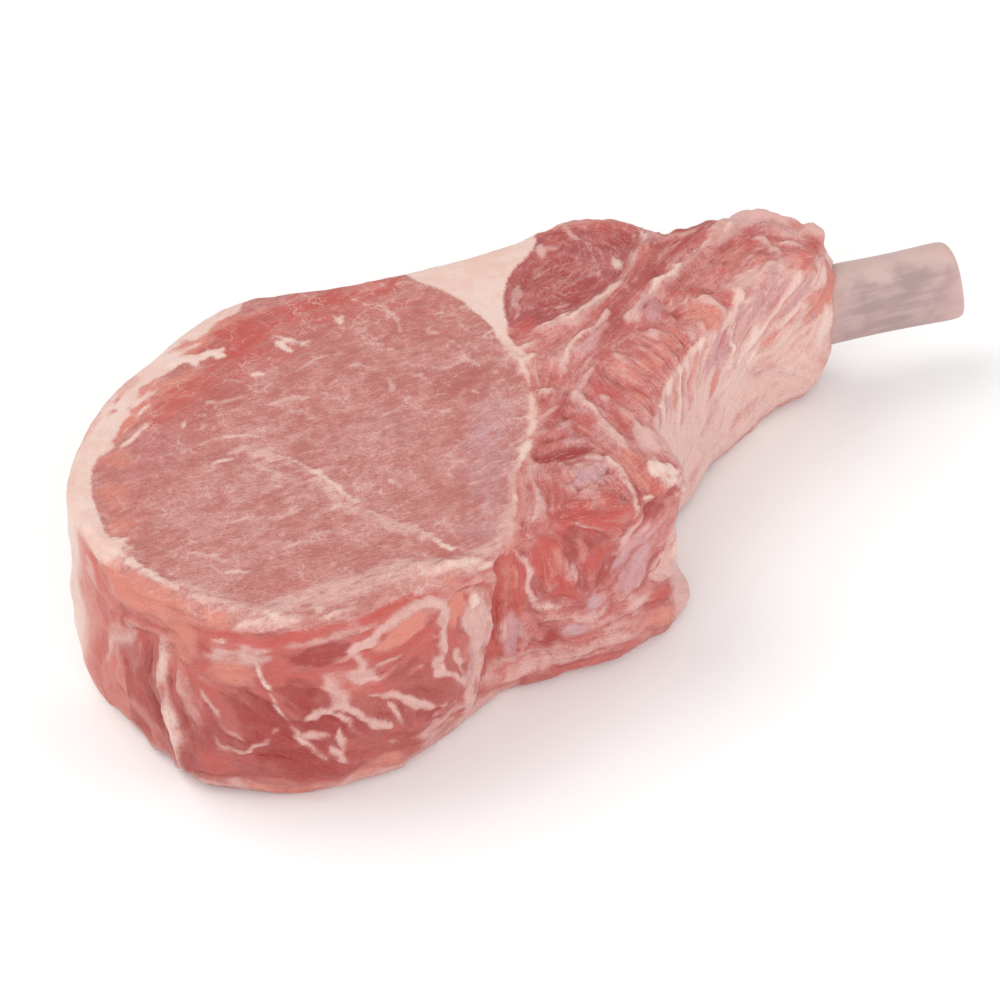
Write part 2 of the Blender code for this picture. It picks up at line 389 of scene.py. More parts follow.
def smooth(value, start, end):
    """0 at start, 1 at end, and an even S between."""
    t = np.clip((value - start) / (end - start), 0, 1)
    return t * t * (3 - 2 * t)


def drop(side, points):
    """The points set on the block's surface, as seen from that side."""
    found = []
    for a, b in points:
        if side == "top":
            start, way, near = (a, b, FAR), (0, 0, -1), (a, b, CUT_FACE)
        else:
            start, way, near = (a, -FAR, b), (0, 1, 0), (a, FRONT_WALL, b)
        hit = surface.ray_cast(Vector(start), Vector(way))[0]
        if hit is None:
            hit = surface.find_nearest(Vector(near))[0]
        found.append(hit)
    return np.array(found)


def paint(side, name, half_width, opacity, stands, soft, *lines, taper=0.6):
    """Notes the same stroke along several lines. The name lean is bare muscle."""
    for points in lines:
        strokes.append((name, drop(side, points), half_width, opacity, stands, 0.7 * soft, taper))


top, front = partial(paint, "top"), partial(paint, "front")


def gap_to(line, half_width, taper):
    """The points near a stroke, and how far each is outside it: below zero is inside."""
    reach = half_width * 3 + 3
    near = np.flatnonzero(((bent > line.min(0) - reach) & (bent < line.max(0) + reach)).all(axis=1))
    here = bent[near]
    runs = np.linalg.norm(np.diff(line, axis=0), axis=1)
    along = np.concatenate([[0], np.cumsum(runs)]) / runs.sum()
    best = np.full(len(near), 1e9)
    for a, b, start, end in zip(line[:-1], line[1:], along[:-1], along[1:]):
        way = b - a
        t = np.clip((here - a) @ way / max(way @ way, 1e-9), 0, 1)
        place = start + t * (end - start)
        width = half_width * (1 - taper * np.abs(2 * place - 1) ** 3)
        best = np.minimum(best, np.linalg.norm(here - a - t[:, None] * way, axis=1) - width)
    return near, best


def lay(near, mask, name):
    """Covers what is there with a tone."""
    for other in TONES:
        tone[other][near] *= 1 - mask
    if name in tone:
        tone[name][near] += mask


def lay_stroke(name, line, half_width, opacity, stands, soft, taper):
    """Covers the stroke's points with its tone, with a frayed edge, and raises or sinks them."""
    near, gap = gap_to(line, half_width, taper)
    gap = gap + frayed[near] * soft
    lay(near, (1 - smooth(gap, -soft, soft)) * opacity, name)
    if stands:
        profile = 1 - np.clip((gap + half_width) / (half_width * 1.7 + 0.5), 0, 1) ** 2
        height[near] += stands * profile ** 2

# %% [markdown]
# The muscles and the layers of fat run through the whole thickness along the same seams as in the
# CAD. Each region is the part of the plan on one side of a seam. The same outlines paint the broad
# tones now and cut the finished block into its pieces later.

# %% The seams on the plan
PLAN_CENTRE = (2.6, -1.2)
SEAMS = {
    "eye_to_fat_cap": [
        (-43, 52), (-46.5, 41), (-53, 37), (-55.5, 32), (-61, 29), (-66, 26), (-70, 19),
        (-78, 11), (-83, 6), (-86, -1), (-86.5, -10), (-85.5, -17), (-87, -23), (-97, -28)],
    "eye_to_seam_fat": [
        (-16, 52), (-13.5, 40), (-10, 34), (-6.5, 29), (-4.2, 24), (-3.6, 17), (-3.4, 10), (-4.4, 3),
        (-6, -4), (-8.6, -10), (-12, -16), (-16.5, -24), (-19.5, -31), (-23, -38), (-25, -52)],
    "seam_fat_to_cap": [
        (14, 54), (12.2, 42), (8, 38), (4, 34), (0.6, 28), (-1.0, 22), (-1.1, 17), (-0.9, 10), (-1.8, 3),
        (-3.2, -4), (-5.8, -10), (-9.2, -16), (-13.7, -24), (-16.6, -31), (-19.6, -38), (-21, -52)],
    "cap_to_rib_meat": [
        (-1.1, 19.5), (2, 19.2), (7, 17.8), (13, 19.5), (19, 23), (24, 28), (30, 33), (34, 37.5),
        (39, 50)],
    "rib_meat_to_chine": [
        (-2.2, 0.5), (0.5, -1.4), (3, -4), (4.5, -8.5), (6.5, -13), (9.5, -16), (13, -17.5), (30, -21)],
}
BEYOND = {
    "eye_to_fat_cap": [(-FAR, -28), (-FAR, FAR), (-43, FAR)],
    "eye_to_seam_fat": [(-25, -FAR), (-FAR, -FAR), (-FAR, FAR), (-16, FAR)],
    "seam_fat_to_cap": [(-21, -FAR), (-FAR, -FAR), (-FAR, FAR), (14, FAR)],
    "cap_to_rib_meat": [(39, FAR), (-FAR, FAR), (-FAR, 19.5)],
    "rib_meat_to_chine": [(30, -FAR), (-FAR, -FAR), (-FAR, 0.5)],
}
CURVE_STEPS = 3


def curve_through(points):
    """A Catmull-Rom curve through the points."""
    points = np.array(points, float)
    ends = np.concatenate([points[:1], points, points[-1:]])
    found = []
    for before, start, end, after in zip(ends, ends[1:], ends[2:], ends[3:]):
        bend = 2 * before - 5 * start + 4 * end - after
        twist = 3 * start - before - 3 * end + after
        for t in (step / CURVE_STEPS for step in range(CURVE_STEPS)):
            found.append(0.5 * (2 * start + (end - before) * t + bend * t ** 2 + twist * t ** 3))
    return np.array(found + [points[-1]])


def region(seam):
    """The outline of the plan's part that one seam closes off, in millimetres about the chop's middle."""
    return np.concatenate([curve_through(SEAMS[seam]), np.array(BEYOND[seam], float)]) - PLAN_CENTRE


def inside(outline, points):
    """How far each point is inside the outline on the plan: above zero is in."""
    x, y = points[:, 0], points[:, 1]
    crossings, best = np.zeros(len(points), bool), np.full(len(points), 1e9)
    for a, b in zip(outline, np.roll(outline, -1, axis=0)):
        way = b - a
        t = np.clip(((x - a[0]) * way[0] + (y - a[1]) * way[1]) / (way @ way), 0, 1)
        best = np.minimum(best, np.hypot(x - a[0] - t * way[0], y - a[1] - t * way[1]))
        if a[1] != b[1]:
            crossings ^= ((a[1] > y) != (b[1] > y)) & (x < way[0] * (y - a[1]) / way[1] + a[0])
    return np.where(crossings, best, -best)


share = {seam: smooth(inside(region(seam), bent), -0.5, 0.5) for seam in SEAMS}
in_fat_cap = share["eye_to_fat_cap"]
in_eye = share["eye_to_seam_fat"] * (1 - in_fat_cap)
in_seam_fat = share["seam_fat_to_cap"] * (1 - share["eye_to_seam_fat"])
in_cap = share["cap_to_rib_meat"] * (1 - share["seam_fat_to_cap"])
in_chine = share["rib_meat_to_chine"] * (1 - share["seam_fat_to_cap"])
in_rib_meat = (1 - share["cap_to_rib_meat"]) * (1 - share["rib_meat_to_chine"])
in_rib_meat *= 1 - share["seam_fat_to_cap"]

# %% [markdown]
# The eye of the loin is almost one even pink. Its marbling is sparse: one long vein of fat wanders
# towards the front, and short flecks and threads lie about it. Towards the right its film of moisture
# shows a lilac sheen, which is painted in as colour, and towards the top right it is browner where the
# air has dried it.

# %% The eye
top("dark", 7, 0.42, 0, 5, [(-30, 31), (-22, 28), (-16, 22)], [(-42, 34), (-34, 34)], [(-20, 12), (-16, 6)])
top("dark", 7, 0.5, 0, 7, [(-75, 9), (-67, 16), (-57, 23)])
top("lean", 1.5, 0.8, 0, 1, [(-12, 30.6), (-9.8, 27), (-8.2, 22), (-7.4, 17)])
top("film", 7, 0.14, 0, 6, [(-62, -4), (-50, -7)])
top("warm", 7, 0.22, 0, 5, [(-34, 30), (-24, 30), (-16, 24)], [(-66, 8), (-60, 16)], [(-76, -6),
    (-70, -20)])
top("red", 6.5, 0.48, 0, 6, [(-78, 7), (-69, 16), (-60, 24), (-50, 31), (-38, 35.6), (-24, 37)], taper=0.3)
top("red", 5, 0.3, 0, 5, [(-84, -12), (-83, -2), (-79, 6)], [(-22, 36), (-12, 30)])
top("dark", 4.5, 0.16, 0, 4, [(-66, 14), (-56, 18)], [(-70, 2), (-64, -4)], [(-44, -18), (-38, -20)],
    [(-66, -30), (-58, -33)])
top("film", 7, 0.25, 0, 6, [(-66, -6), (-54, -8)], [(-74, -14), (-64, -20)], [(-56, -12), (-50, -16)],
    [(-46, 2), (-38, 0)], [(-60, 10), (-52, 8)])
# These two lilac strokes are painted sheen: the shine of moisture on the eye, laid on as colour.
top("lilac", 4.5, 0.45, 0, 4, [(-19, -6), (-21, -16), (-25, -26)], [(-13, 2), (-16, -8)], [(-30, -33),
    (-25, -31)])
top("lilac", 5, 0.28, 0, 5, [(-82, 2), (-76, 8), (-70, 14)], [(-40, 4), (-30, -2)], [(-78, -12),
    (-70, -10)])
top("red", 2.4, 0.35, 0, 2.4, [(-66, -35), (-60, -36)], [(-58, 27), (-48, 31.5)], [(-38, -34), (-34, -36)])
top("fat", 0.7, 0.85, 0.12, 0.8, [(-57, 3), (-52.6, -0.4), (-48.5, -8.8), (-46.2, -15.6), (-44, -20.5),
    (-40, -26.8), (-36.7, -30.4), (-34, -34.7)], taper=0.3)
top("fat", 0.8, 0.5, 0.12, 1.2, [(-48.6, -9), (-46, -16.6)])
top("film", 1.3, 0.65, 0, 1.5, [(-50, -9), (-47, -18), (-42, -25), (-37, -31)], [(-62, 5), (-56, 2.6),
    (-51, -5)])
top("fat", 0.45, 0.6, 0.06, 0.5, [(-68, 8), (-63, 8.3), (-58, 8), (-54, 5)], [(-38.5, -12.5),
    (-36.8, -16.6)], [(-31.5, 36), (-33.5, 31), (-34, 29.5)], [(-31.5, 26.5), (-27.5, 23.5), (-25.5, 19),
    (-25.5, 17)], [(-17, 10), (-16, 5), (-14, 1)], [(-43, 30), (-38, 27)], [(-72, -28), (-68, -29)],
    [(-46, -16), (-51, -18)])
top("film", 0.5, 0.7, 0, 0.5, [(-18, 26), (-15, 20), (-14.5, 15), (-12.5, 11)], [(-14.5, 15), (-18, 13),
    (-21, 13.5)], [(-33, 24), (-29, 26), (-24, 27)], [(-24, 34), (-22, 30), (-23, 26)], [(-38, 20),
    (-33, 19), (-29, 15)], [(-29, 15), (-24, 12), (-22, 8)], [(-29, 15), (-30, 10), (-33, 7)], [(-44, 22),
    (-40, 24), (-36, 24)], [(-12, 26), (-10, 21)], [(-27, 4), (-22, 1), (-19, -3)], [(-36, 4), (-31, 5),
    (-28, 8)], [(-52, 14), (-46, 15), (-42, 13)], [(-60, 1), (-56, -4), (-57, -9)], [(-34, -8), (-29, -9),
    (-26, -13)], [(-28, -19), (-24, -20), (-22, -24)], [(-56, -22), (-50, -25), (-47, -30)], [(-68, -14),
    (-62, -15), (-57, -13)], [(-79, -20), (-73, -22), (-70, -26)], [(-63, -26), (-58, -24), (-53, -26)],
    [(-74, 0), (-70, -3), (-66, -2)], [(-66, 20), (-60, 17), (-55, 18)])
top("fat", 0.6, 0.85, 0.1, 0.5, [(-47, 32.6), (-45, 32.4), (-43, 30.6), (-41, 29.5), (-38.6, 29.4)],
    [(-46, 31.6), (-44.6, 30), (-43.6, 28.2)], [(-53, 23), (-50, 22.6)])
top("fat", 0.4, 0.7, 0.05, 0.5, [(-68, 13.4), (-66.6, 16.4)], [(-66, 2.6), (-62.4, 2.2)], [(-33.8, 37),
    (-33.2, 31)])

# %% [markdown]
# Round the left and the back of the eye runs a rim of fat, and between the two show patches of a thin
# orange-red muscle. Along the front the rim breaks up into lumps that stand a little proud.

# %% The rim of fat
top("warm", 4.2, 0.8, 0, 2.6, [(-59, 34), (-52, 36.4), (-45, 38), (-37, 39.6)])
top("red", 3.4, 0.85, 0, 2.6, [(-54, 35.4), (-46, 37.6), (-38, 39.4), (-28, 41.2), (-20, 41.6)], [(-60, 31),
    (-54, 32.4), (-46, 35)])
top("dark", 1.2, 0.4, 0, 1.4, [(-58, 33), (-54, 34)], [(-47, 37.4), (-42, 38)])
top("warm", 1.5, 0.5, 0, 1.6, [(-30, 41.5), (-22, 40.8)], [(-64, 33.6), (-60, 35)])
top("fat", 1, 0.95, 0.15, 0.8, [(-65, 31), (-60, 30.6), (-55.5, 31.8)], [(-62, 31), (-61.2, 28.4)],
    [(-58, 31.6), (-56, 29.6)])
top("warm", 4, 0.8, 0, 3, [(-74, 17), (-67, 22.6), (-62, 27)])
top("red", 2.8, 0.7, 0, 2.6, [(-74, 15.5), (-66, 21.5), (-60, 26)])
top("warm", 1, 0.95, -0.5, 0.8, [(-80.5, 13), (-78, 16.6), (-74.5, 19.6)])
top("fat", 0.55, 0.85, 0.25, 0.6, [(-80.6, 10.4), (-78.6, 11.6), (-73, 16.6)])
top("warm", 2.6, 0.65, 0, 2.4, [(-84, 8.5), (-80, 6)], [(-85.6, 2), (-84.6, -5)], [(-86.6, -8),
    (-85.8, -13)])
top("warm", 1.6, 0.4, 0, 2, [(-92.6, 2), (-91, 12), (-87, 19)], [(-84, 21), (-79, 26)], [(-74, 30),
    (-66, 35.6)])
top("film", 1.3, 0.5, 0, 1.5, [(-93, -6), (-92.4, -14)], [(-86, 16), (-82, 20)], [(-78, 24.5), (-72, 28.5)])
top("fat", 1.6, 0.95, 0.5, 1.28, [(-91.4, -6), (-90.4, -10)], [(-90.6, -12), (-87, -16.4)], [(-91.4, -15),
    (-88, -19.6)])
top("warm", 3.4, 0.6, 0, 2.4, [(-90.5, -22.5), (-86, -27), (-82.5, -31)], [(-92.5, -19), (-91, -22)])
top("fat", 0.8, 0.8, 0.4, 0.9, [(-87.4, -20.4), (-84.4, -24.6), (-81, -29.4)], taper=0.2)
top("fat", 0.9, 0.55, 0.4, 1.4, [(-80, -30.5), (-78, -33.4), (-75, -35.4), (-72.6, -37.6)], taper=0.2)
top("film", 1.1, 0.6, 0.2, 1.3, [(-82, -27), (-78, -30.6), (-73, -34.6)])
top("warm", 1.9, 0.95, -0.4, 1.52, [(-79.6, -35.8), (-77.4, -38), (-75.2, -39.4)])
top("fat", 0.5, 0.7, 0.3, 0.6, [(-81, -36.4), (-79, -39), (-76, -41)])
top("film", 1.6, 0.8, 0.3, 1.2, [(-74, -37.6), (-70, -39.8), (-65, -41)])
top("fat", 1, 0.6, 0.5, 1.4, [(-73.4, -38.4), (-70, -40.4), (-66.6, -41)])
top("film", 2.2, 0.7, 0.1, 1.8, [(-66, -39.6), (-58, -40.6), (-50, -39.8), (-42, -38)], taper=0.2)
top("film", 1.3, 0.55, 0.2, 1.2, [(-60, -37), (-50, -36.6), (-42, -35.4)], [(-34, -36.5), (-28, -36),
    (-24, -34)])
top("fat", 0.5, 0.6, 0.35, 0.8, [(-65, -41.6), (-58, -42.4), (-51, -42), (-45, -40.6)], [(-56, -39.6),
    (-49, -39.4), (-43, -38)], [(-62, -43), (-55, -43.6)])
top("warm", 0.6, 0.6, -0.2, 0.7, [(-60, -41), (-53, -41.2), (-47, -40.2)])
top("fat", 1.8, 0.7, 0.9, 1.6, [(-40.5, -38.6), (-36, -39.8)], [(-35.8, -38.8), (-29.6, -40.2)], taper=0.3)
top("film", 1.5, 0.7, 0.3, 1.2, [(-42, -37.2), (-36, -37.4)], [(-32, -37.6), (-28, -38)])
top("warm", 1.6, 0.6, 0, 1.2, [(-38.4, -41.6), (-36, -42)])

# %% [markdown]
# Between the eye and the cap muscle lies a wedge of fat. It narrows into a pale line that runs down
# the whole cut face and forks around the chine, with small threads leaving it on both sides.

# %% The seam of fat
top("film", 1.5, 0.6, 0.2, 1.5, [(-6, 14), (-5.4, 8), (-6.2, 2), (-8, -4.6), (-10.2, -8.7), (-13.1, -14.4),
    (-15.1, -18.3), (-17.9, -22.9), (-20.4, -27.5), (-22.6, -32.1), (-24.4, -36)], taper=0.2)
top("fat", 0.75, 0.85, 0.2, 1, [(-6, 14), (-5.4, 8), (-6.2, 2), (-8, -4.6), (-10.2, -8.7), (-13.1, -14.4),
    (-15.1, -18.3), (-17.9, -22.9), (-20.4, -27.5), (-22.6, -32.1)], taper=0.3)
top("film", 1.6, 0.55, 0.2, 1.3, [(-21, -28), (-24, -32), (-26, -36)], [(-16.6, -19), (-19, -24)])
top("fat", 0.35, 0.75, 0.1, 0.6, [(-7, 30), (-12, 28.5), (-15, 29)], [(-5.5, 22), (-9, 19)], [(-14, -16.4),
    (-19, -15)], [(-5.2, 14), (-8.5, 11)], [(-8, -6), (-12, -5), (-14, -2)], [(-6, 2), (-9, 4)])
top("film", 0.5, 0.7, 0.1, 0.8, [(-13, -15.4), (-13.6, -21), (-15.6, -27), (-18.6, -32)], [(-11, -11.5),
    (-16, -11)])
top("fat", 0.6, 0.8, 0.3, 0.7, [(-6.4, 15), (-2, 14), (2, 15)], [(-5, 10), (-2, 11)], [(-6, 2), (-2.6, 0.6),
    (1, 1.6)])

# %% [markdown]
# The cap muscle and the strips beside it are darker and coarser. Pale seams divide them, and each
# strip swells a little between its seams.

# %% The cap muscle
top("warm", 2, 0.8, 0.3, 1.8, [(12, 45.6), (17, 47.4), (22.2, 47), (25, 45), (28, 43.2), (30.8, 40.6)],
    taper=0.2)
top("red", 2.4, 0.5, 0.3, 2.2, [(11, 41), (14, 43.4)], [(21, 44), (25, 42), (28, 39)])
top("dark", 3.4, 0.6, -0.3, 2.8, [(4, 25), (10, 26), (15, 27)], [(9, 34), (14, 36.6)], [(22.6, 39),
    (26, 38)], [(3, 30), (6, 35)])
top("film", 0.8, 0.8, 0.2, 0.9, [(15.3, 47.4), (17.2, 44.3), (18.6, 40.6)], taper=0.3)
top("film", 0.5, 0.7, 0.1, 0.7, [(18.6, 40.6), (18.1, 36.2), (17.2, 29.5)], [(9.6, 42), (9, 38)])
top("film", 0.4, 0.5, 0.1, 0.6, [(4, 33), (8, 36.4), (13, 37)], [(12, 30), (15, 31.6), (17.6, 31)],
    [(24, 42), (26, 37)], [(9, 40), (13, 40.6)], [(22, 41), (21, 37)], [(4.6, 24), (9, 24.6)], [(6, 28),
    (10, 30)])
top("film", 1.3, 0.5, 0, 1.6, [(13, 47.6), (18, 48.2), (23, 47.6), (27, 45.4), (31, 42.4)])
top("film", 1.8, 0.75, 0.4, 1.6, [(30.7, 39.7), (29.4, 35.1), (25.1, 31.1), (21.6, 26.6), (20.5, 25.1),
    (15.4, 22.6), (11.4, 20.6), (7.4, 18.6), (2.5, 17.4)], taper=0.3)
top("fat", 0.9, 0.8, 0.2, 1.2, [(30, 38.6), (29, 35.1), (25.1, 31.4), (21, 26), (15.6, 23.2), (11.4, 21.2),
    (7.4, 19.4), (3, 18.6)], taper=0.3)
top("fat", 1.1, 0.75, 0.3, 1.2, [(21.7, 33), (21.9, 30.6)], [(20.4, 28.4), (22.6, 28.8)])
top("red", 1.4, 0.5, 0, 1.3, [(16, 20), (11, 18)], [(2, 15.6), (-1, 14.6)], [(2.6, 19.8), (-1.6, 20.6)])
top("film", 0.8, 0.6, 0.2, 0.9, [(-2, 22), (0.2, 28), (2.6, 33)])

# %% The strips of rib meat
top("red", 2.9, 0.7, 0.8, 1.6, [(43.6, 37), (36.2, 35.6), (29.9, 32), (25.6, 28), (22.5, 24), (18.4, 19.4),
    (14.1, 15.4)], taper=0.35)
top("dark", 2, 0.65, 0.2, 1.6, [(42, 36.8), (36.2, 35), (30.6, 31.6), (26.4, 27.6), (22.5, 23.4),
    (18.4, 19), (14.1, 15), (9.4, 10.6)], taper=0.4)
top("film", 0.35, 0.5, 0.1, 0.6, [(40, 36.4), (34, 35), (30, 33)], [(33, 33), (28, 29), (25, 25.6)],
    [(21, 23), (17.6, 19)])
top("film", 2.4, 0.8, 0.4, 1.8, [(53.5, 38.7), (48.1, 37), (43, 34)], taper=0.3)
top("film", 1.2, 0.85, 0.5, 1.2, [(44, 34.8), (40, 32), (37.2, 30.3), (32, 27.3), (27.7, 23.8),
    (23.2, 19.6), (20.1, 15.9), (18.6, 14.4)], taper=0.3)
top("fat", 0.7, 0.8, 0.2, 1, [(48, 37), (42.7, 34), (37.2, 30.3), (32, 27.3), (27.7, 23.8), (23.6, 20)],
    taper=0.3)
top("film", 0.9, 0.8, 0.4, 1, [(14.4, 16.4), (9.6, 13.6), (6.4, 12.1), (3.1, 9.1), (1.5, 6.3), (1.3, 4.3)],
    taper=0.3)
top("lilac", 1.8, 0.6, 0.5, 1.6, [(4.4, 8.8), (9.4, 11), (12, 13)], [(50.7, 34.8), (54.5, 34)], [(24, 17),
    (22.6, 14)])
top("red", 2, 0.75, 0.6, 1.6, [(50, 31.6), (46, 28.6)], [(40.6, 24.3), (37.6, 22.6)], [(34.6, 17.4),
    (31, 17)], [(29.9, 20.4), (27.4, 18.6)])
top("dark", 1.5, 0.65, 0.3, 1.4, [(41.6, 25), (38.6, 23.4)], [(49.4, 25), (47.4, 24)], [(34.8, 17),
    (33, 17)], [(26, 14.4), (24.6, 12.6)], [(12.6, 11.4), (10, 9.6)])
top("warm", 2.6, 0.65, 0.5, 1.8, [(44.4, 27.4), (41, 25)], [(49, 22.6), (46, 22)], [(54, 24), (57.7, 23)])
top("red", 2.6, 0.6, 0.3, 2, [(55.2, 24.6), (57.4, 23.6)], [(60, 29), (62, 27)])
top("film", 0.6, 0.85, 0.4, 0.8, [(46, 30.6), (47.3, 30.8), (50.1, 29.1), (51.6, 25.6), (50.5, 21.7)])
top("fat", 0.7, 0.8, 0.4, 0.8, [(53, 28.8), (55, 28.2), (56.5, 27.2), (55.6, 25)])
top("warm", 2.2, 0.6, 0.2, 1.8, [(57, 37.4), (60.2, 34.4), (63.4, 31.6)], [(65, 28), (65.6, 24)])
top("film", 1.2, 0.7, 0.3, 1.3, [(50, 40), (55, 38.6), (59, 36)], [(40, 38.6), (46, 40)])
top("film", 3.4, 0.45, 0, 3, [(44, 40.6), (51, 40.4), (57, 37)], [(54, 34.6), (59, 31.6)])
top("film", 2, 0.85, 0.4, 1.6, [(50.6, 21.6), (47.7, 21), (44.5, 20), (41, 18.2), (38.8, 18.8)], taper=0.3)
top("fat", 1.1, 0.7, 0.3, 1.4, [(50, 22), (47, 21.4), (43.6, 19.8)], [(40.6, 17.4), (39, 15)])
top("warm", 2.8, 0.9, 0.5, 1.8, [(28.4, 9.8), (31.6, 12.6), (34.6, 14.6)])
top("red", 1, 0.4, 0, 1.2, [(29, 11), (31, 12.4)], [(24, 10), (26, 11)])
top("film", 0.6, 0.85, 0.4, 0.8, [(28, 15.6), (28.9, 15.3), (32.6, 14.5), (35.4, 13.6), (36.4, 12)],
    [(27.1, 18.4), (27.6, 16.6), (26.4, 15.6)])
top("fat", 0.5, 0.7, 0.3, 0.8, [(26.8, 18.2), (27.6, 17)], [(30, 15.4), (32.6, 14.8)])
top("film", 0.55, 0.75, 0.35, 0.8, [(17.4, 11.4), (19.6, 8.3), (20.8, 5), (20.2, 2)], [(23.4, 9.8),
    (26.2, 7.2), (27.4, 4.6)], [(24.6, 12.4), (27.8, 10), (29.6, 7.4)], [(14.4, 8), (17.4, 5), (18.4, 1.6)],
    [(11, 5.6), (14.6, 2.8), (16.6, -1)], [(9, 1.6), (12.6, -0.6), (14.6, -4)], [(20.4, 9.6), (23, 6.6),
    (24, 3.4)])
top("warm", 1.8, 0.7, 0.2, 1.4, [(10.4, 3.4), (12.6, 1)], [(15.4, 3.8), (17, 0.6)], [(12, 2), (14, -2)],
    [(21.6, 7), (22.6, 4.6)], [(18.6, 6.4), (19.6, 3)], [(10.6, -4), (12, -8)], [(22.9, 9.6), (24.6, 8.4)])
top("red", 1.6, 0.7, 0.3, 1.3, [(6.2, -1), (6.4, -5.4)], [(10.6, 5.4), (8.4, 5.6)])
top("dark", 0.6, 0.5, -0.2, 0.8, [(8.4, 4), (8.9, 0.3), (10.6, -4.6)], [(13, 4.4), (15, 1)])
top("film", 0.8, 0.85, 0.4, 0.8, [(-4.8, 0.9), (-2.4, 0.4), (0.8, -1.4), (4.3, 2.2), (7.2, 4.2)],
    [(0.8, -1.4), (0.8, -4.6)])
top("fat", 0.4, 0.75, 0.2, 0.7, [(-4.8, 0.9), (-2.4, 0.4), (0.8, -1.4), (4.3, 2.2)], [(9.6, 13.8),
    (6.4, 12.2), (3.1, 9.1), (1.5, 6.3)])

# %% [markdown]
# The chine muscles sit at the near right corner: small bundles wrapped in pale membrane, bright red
# where they were freshly cut. One of them is a round lobe, with painted shade in the crease around it.

# %% The chine
top("red", 2.6, 0.4, 0, 2.2, [(-10, -12), (-5, -12)], [(-7, -5), (-3, -3.4)], [(-13, -22), (-13.4, -29)])
top("dark", 0.6, 0.6, -0.3, 0.8, [(-7.7, -9.4), (-4.1, -7.5), (-1.4, -6.5)], [(-9.6, -12.4), (-5.6, -12)],
    [(-2.6, -11.4), (0.4, -13)])
top("film", 0.4, 0.6, 0.1, 0.7, [(-9, -7), (-6, -5.4), (-3, -4)], [(-10.6, -10.6), (-6, -9.6),
    (-2.6, -8.4)], [(-1, -9), (1.4, -12.6), (2, -16.4)])
top("lilac", 1.6, 0.5, 0.3, 1.5, [(-5, -10.6), (-2, -10)], [(-6, -13.6), (-2, -14)], [(1.4, -5), (2.6, -9)])
top("dark", 1.4, 0.9, -0.5, 1.1, [(-12.1, -15.8), (-8.5, -16.4), (-5, -16.5), (-1.8, -16.7)])
# Painted shade: a dark ring in the crease round the lobe, which is laid over it next.
top("dark", 5.2, 0.55, -0.4, 1.5, [(-5.8, -24.4), (-4.8, -26.6)])
top("lilac", 4.1, 0.85, 1, 1.5, [(-6, -23.2), (-4.8, -25.8)])
top("film", 1.8, 0.45, 0.2, 1.6, [(-7, -22), (-3.6, -22.4)], [(-7.4, -26.6), (-5, -27.6)])
top("film", 0.55, 0.85, 0.3, 0.8, [(-4.6, -18.4), (-8.2, -19), (-10.4, -21.8), (-10.7, -25.3), (-9.7, -28)])
top("film", 0.5, 0.7, 0.3, 0.7, [(-13.8, -18.4), (-15.1, -23.8), (-15.8, -29.1), (-16.4, -33)],
    [(-10.6, -29), (-12.4, -31.6)])
top("warm", 2, 0.7, 0.2, 1.6, [(-6, -31.8), (-1.8, -32)])
top("red", 3, 0.8, 0, 2.2, [(-14, -32), (-8, -32)], [(-5, -33), (0, -32)])
top("dark", 1.5, 0.6, -0.3, 1.5, [(-13, -31.4), (-11.4, -33)], [(-7.6, -32.4), (-5, -33.6)], [(-1.6, -31),
    (-0.6, -33)])
top("warm", 3.2, 0.85, 0.4, 1.8, [(3.2, -19.6), (3.7, -26), (4.6, -31.4)])
top("red", 1.8, 0.7, 0.1, 1.6, [(3.4, -22.6), (4.4, -28)], [(5, -31), (5.4, -33.4)])
top("film", 0.8, 0.85, 0.5, 0.9, [(-3.4, -18.8), (-1.2, -21), (0.1, -24.6), (0.4, -28.5), (0.3, -33.4)],
    taper=0.3)
top("fat", 0.45, 0.8, 0.2, 0.8, [(-0.6, -22), (0.1, -24.8), (0.4, -28.5), (0.4, -33)])
top("film", 0.8, 0.85, 0.4, 0.9, [(0.4, -1.4), (1.6, -4.2), (2.4, -7.7), (3.4, -12.9), (4.1, -17)],
    taper=0.3)
top("fat", 0.4, 0.7, 0.2, 0.7, [(1, -3), (2.4, -7.7), (3.4, -12.9)])
top("film", 1.6, 0.75, 0.4, 1.3, [(3.8, -15.4), (4.4, -19.4)])
top("film", 0.7, 0.8, 0.4, 0.8, [(5.6, -4.6), (6.3, -7), (8.3, -11), (8.9, -14.4), (9, -19)])
top("film", 1.8, 0.8, 0.3, 1.5, [(8.4, -13), (9, -17.4), (8.2, -22)])
top("red", 1.5, 0.6, 0.1, 1.3, [(5.2, -9.4), (6.4, -14)], [(0, -8.6), (0.4, -12)])
top("fat", 2.7, 0.95, 0.7, 1.8, [(8.2, -24.6), (7.9, -29.6)])
top("warm", 0.8, 0.5, -0.3, 1, [(7, -23.6), (9.4, -25)], [(7, -28.6), (9, -28)], [(9.2, -31.4), (7, -32)])
top("fat", 0.9, 0.8, 0.4, 1, [(1.4, -33.4), (3, -33.6)])

# %% [markdown]
# The front wall is the chop's torn side. Red muscle shows between streaks of white membrane that hang
# down from the rim, and the surface folds with them.

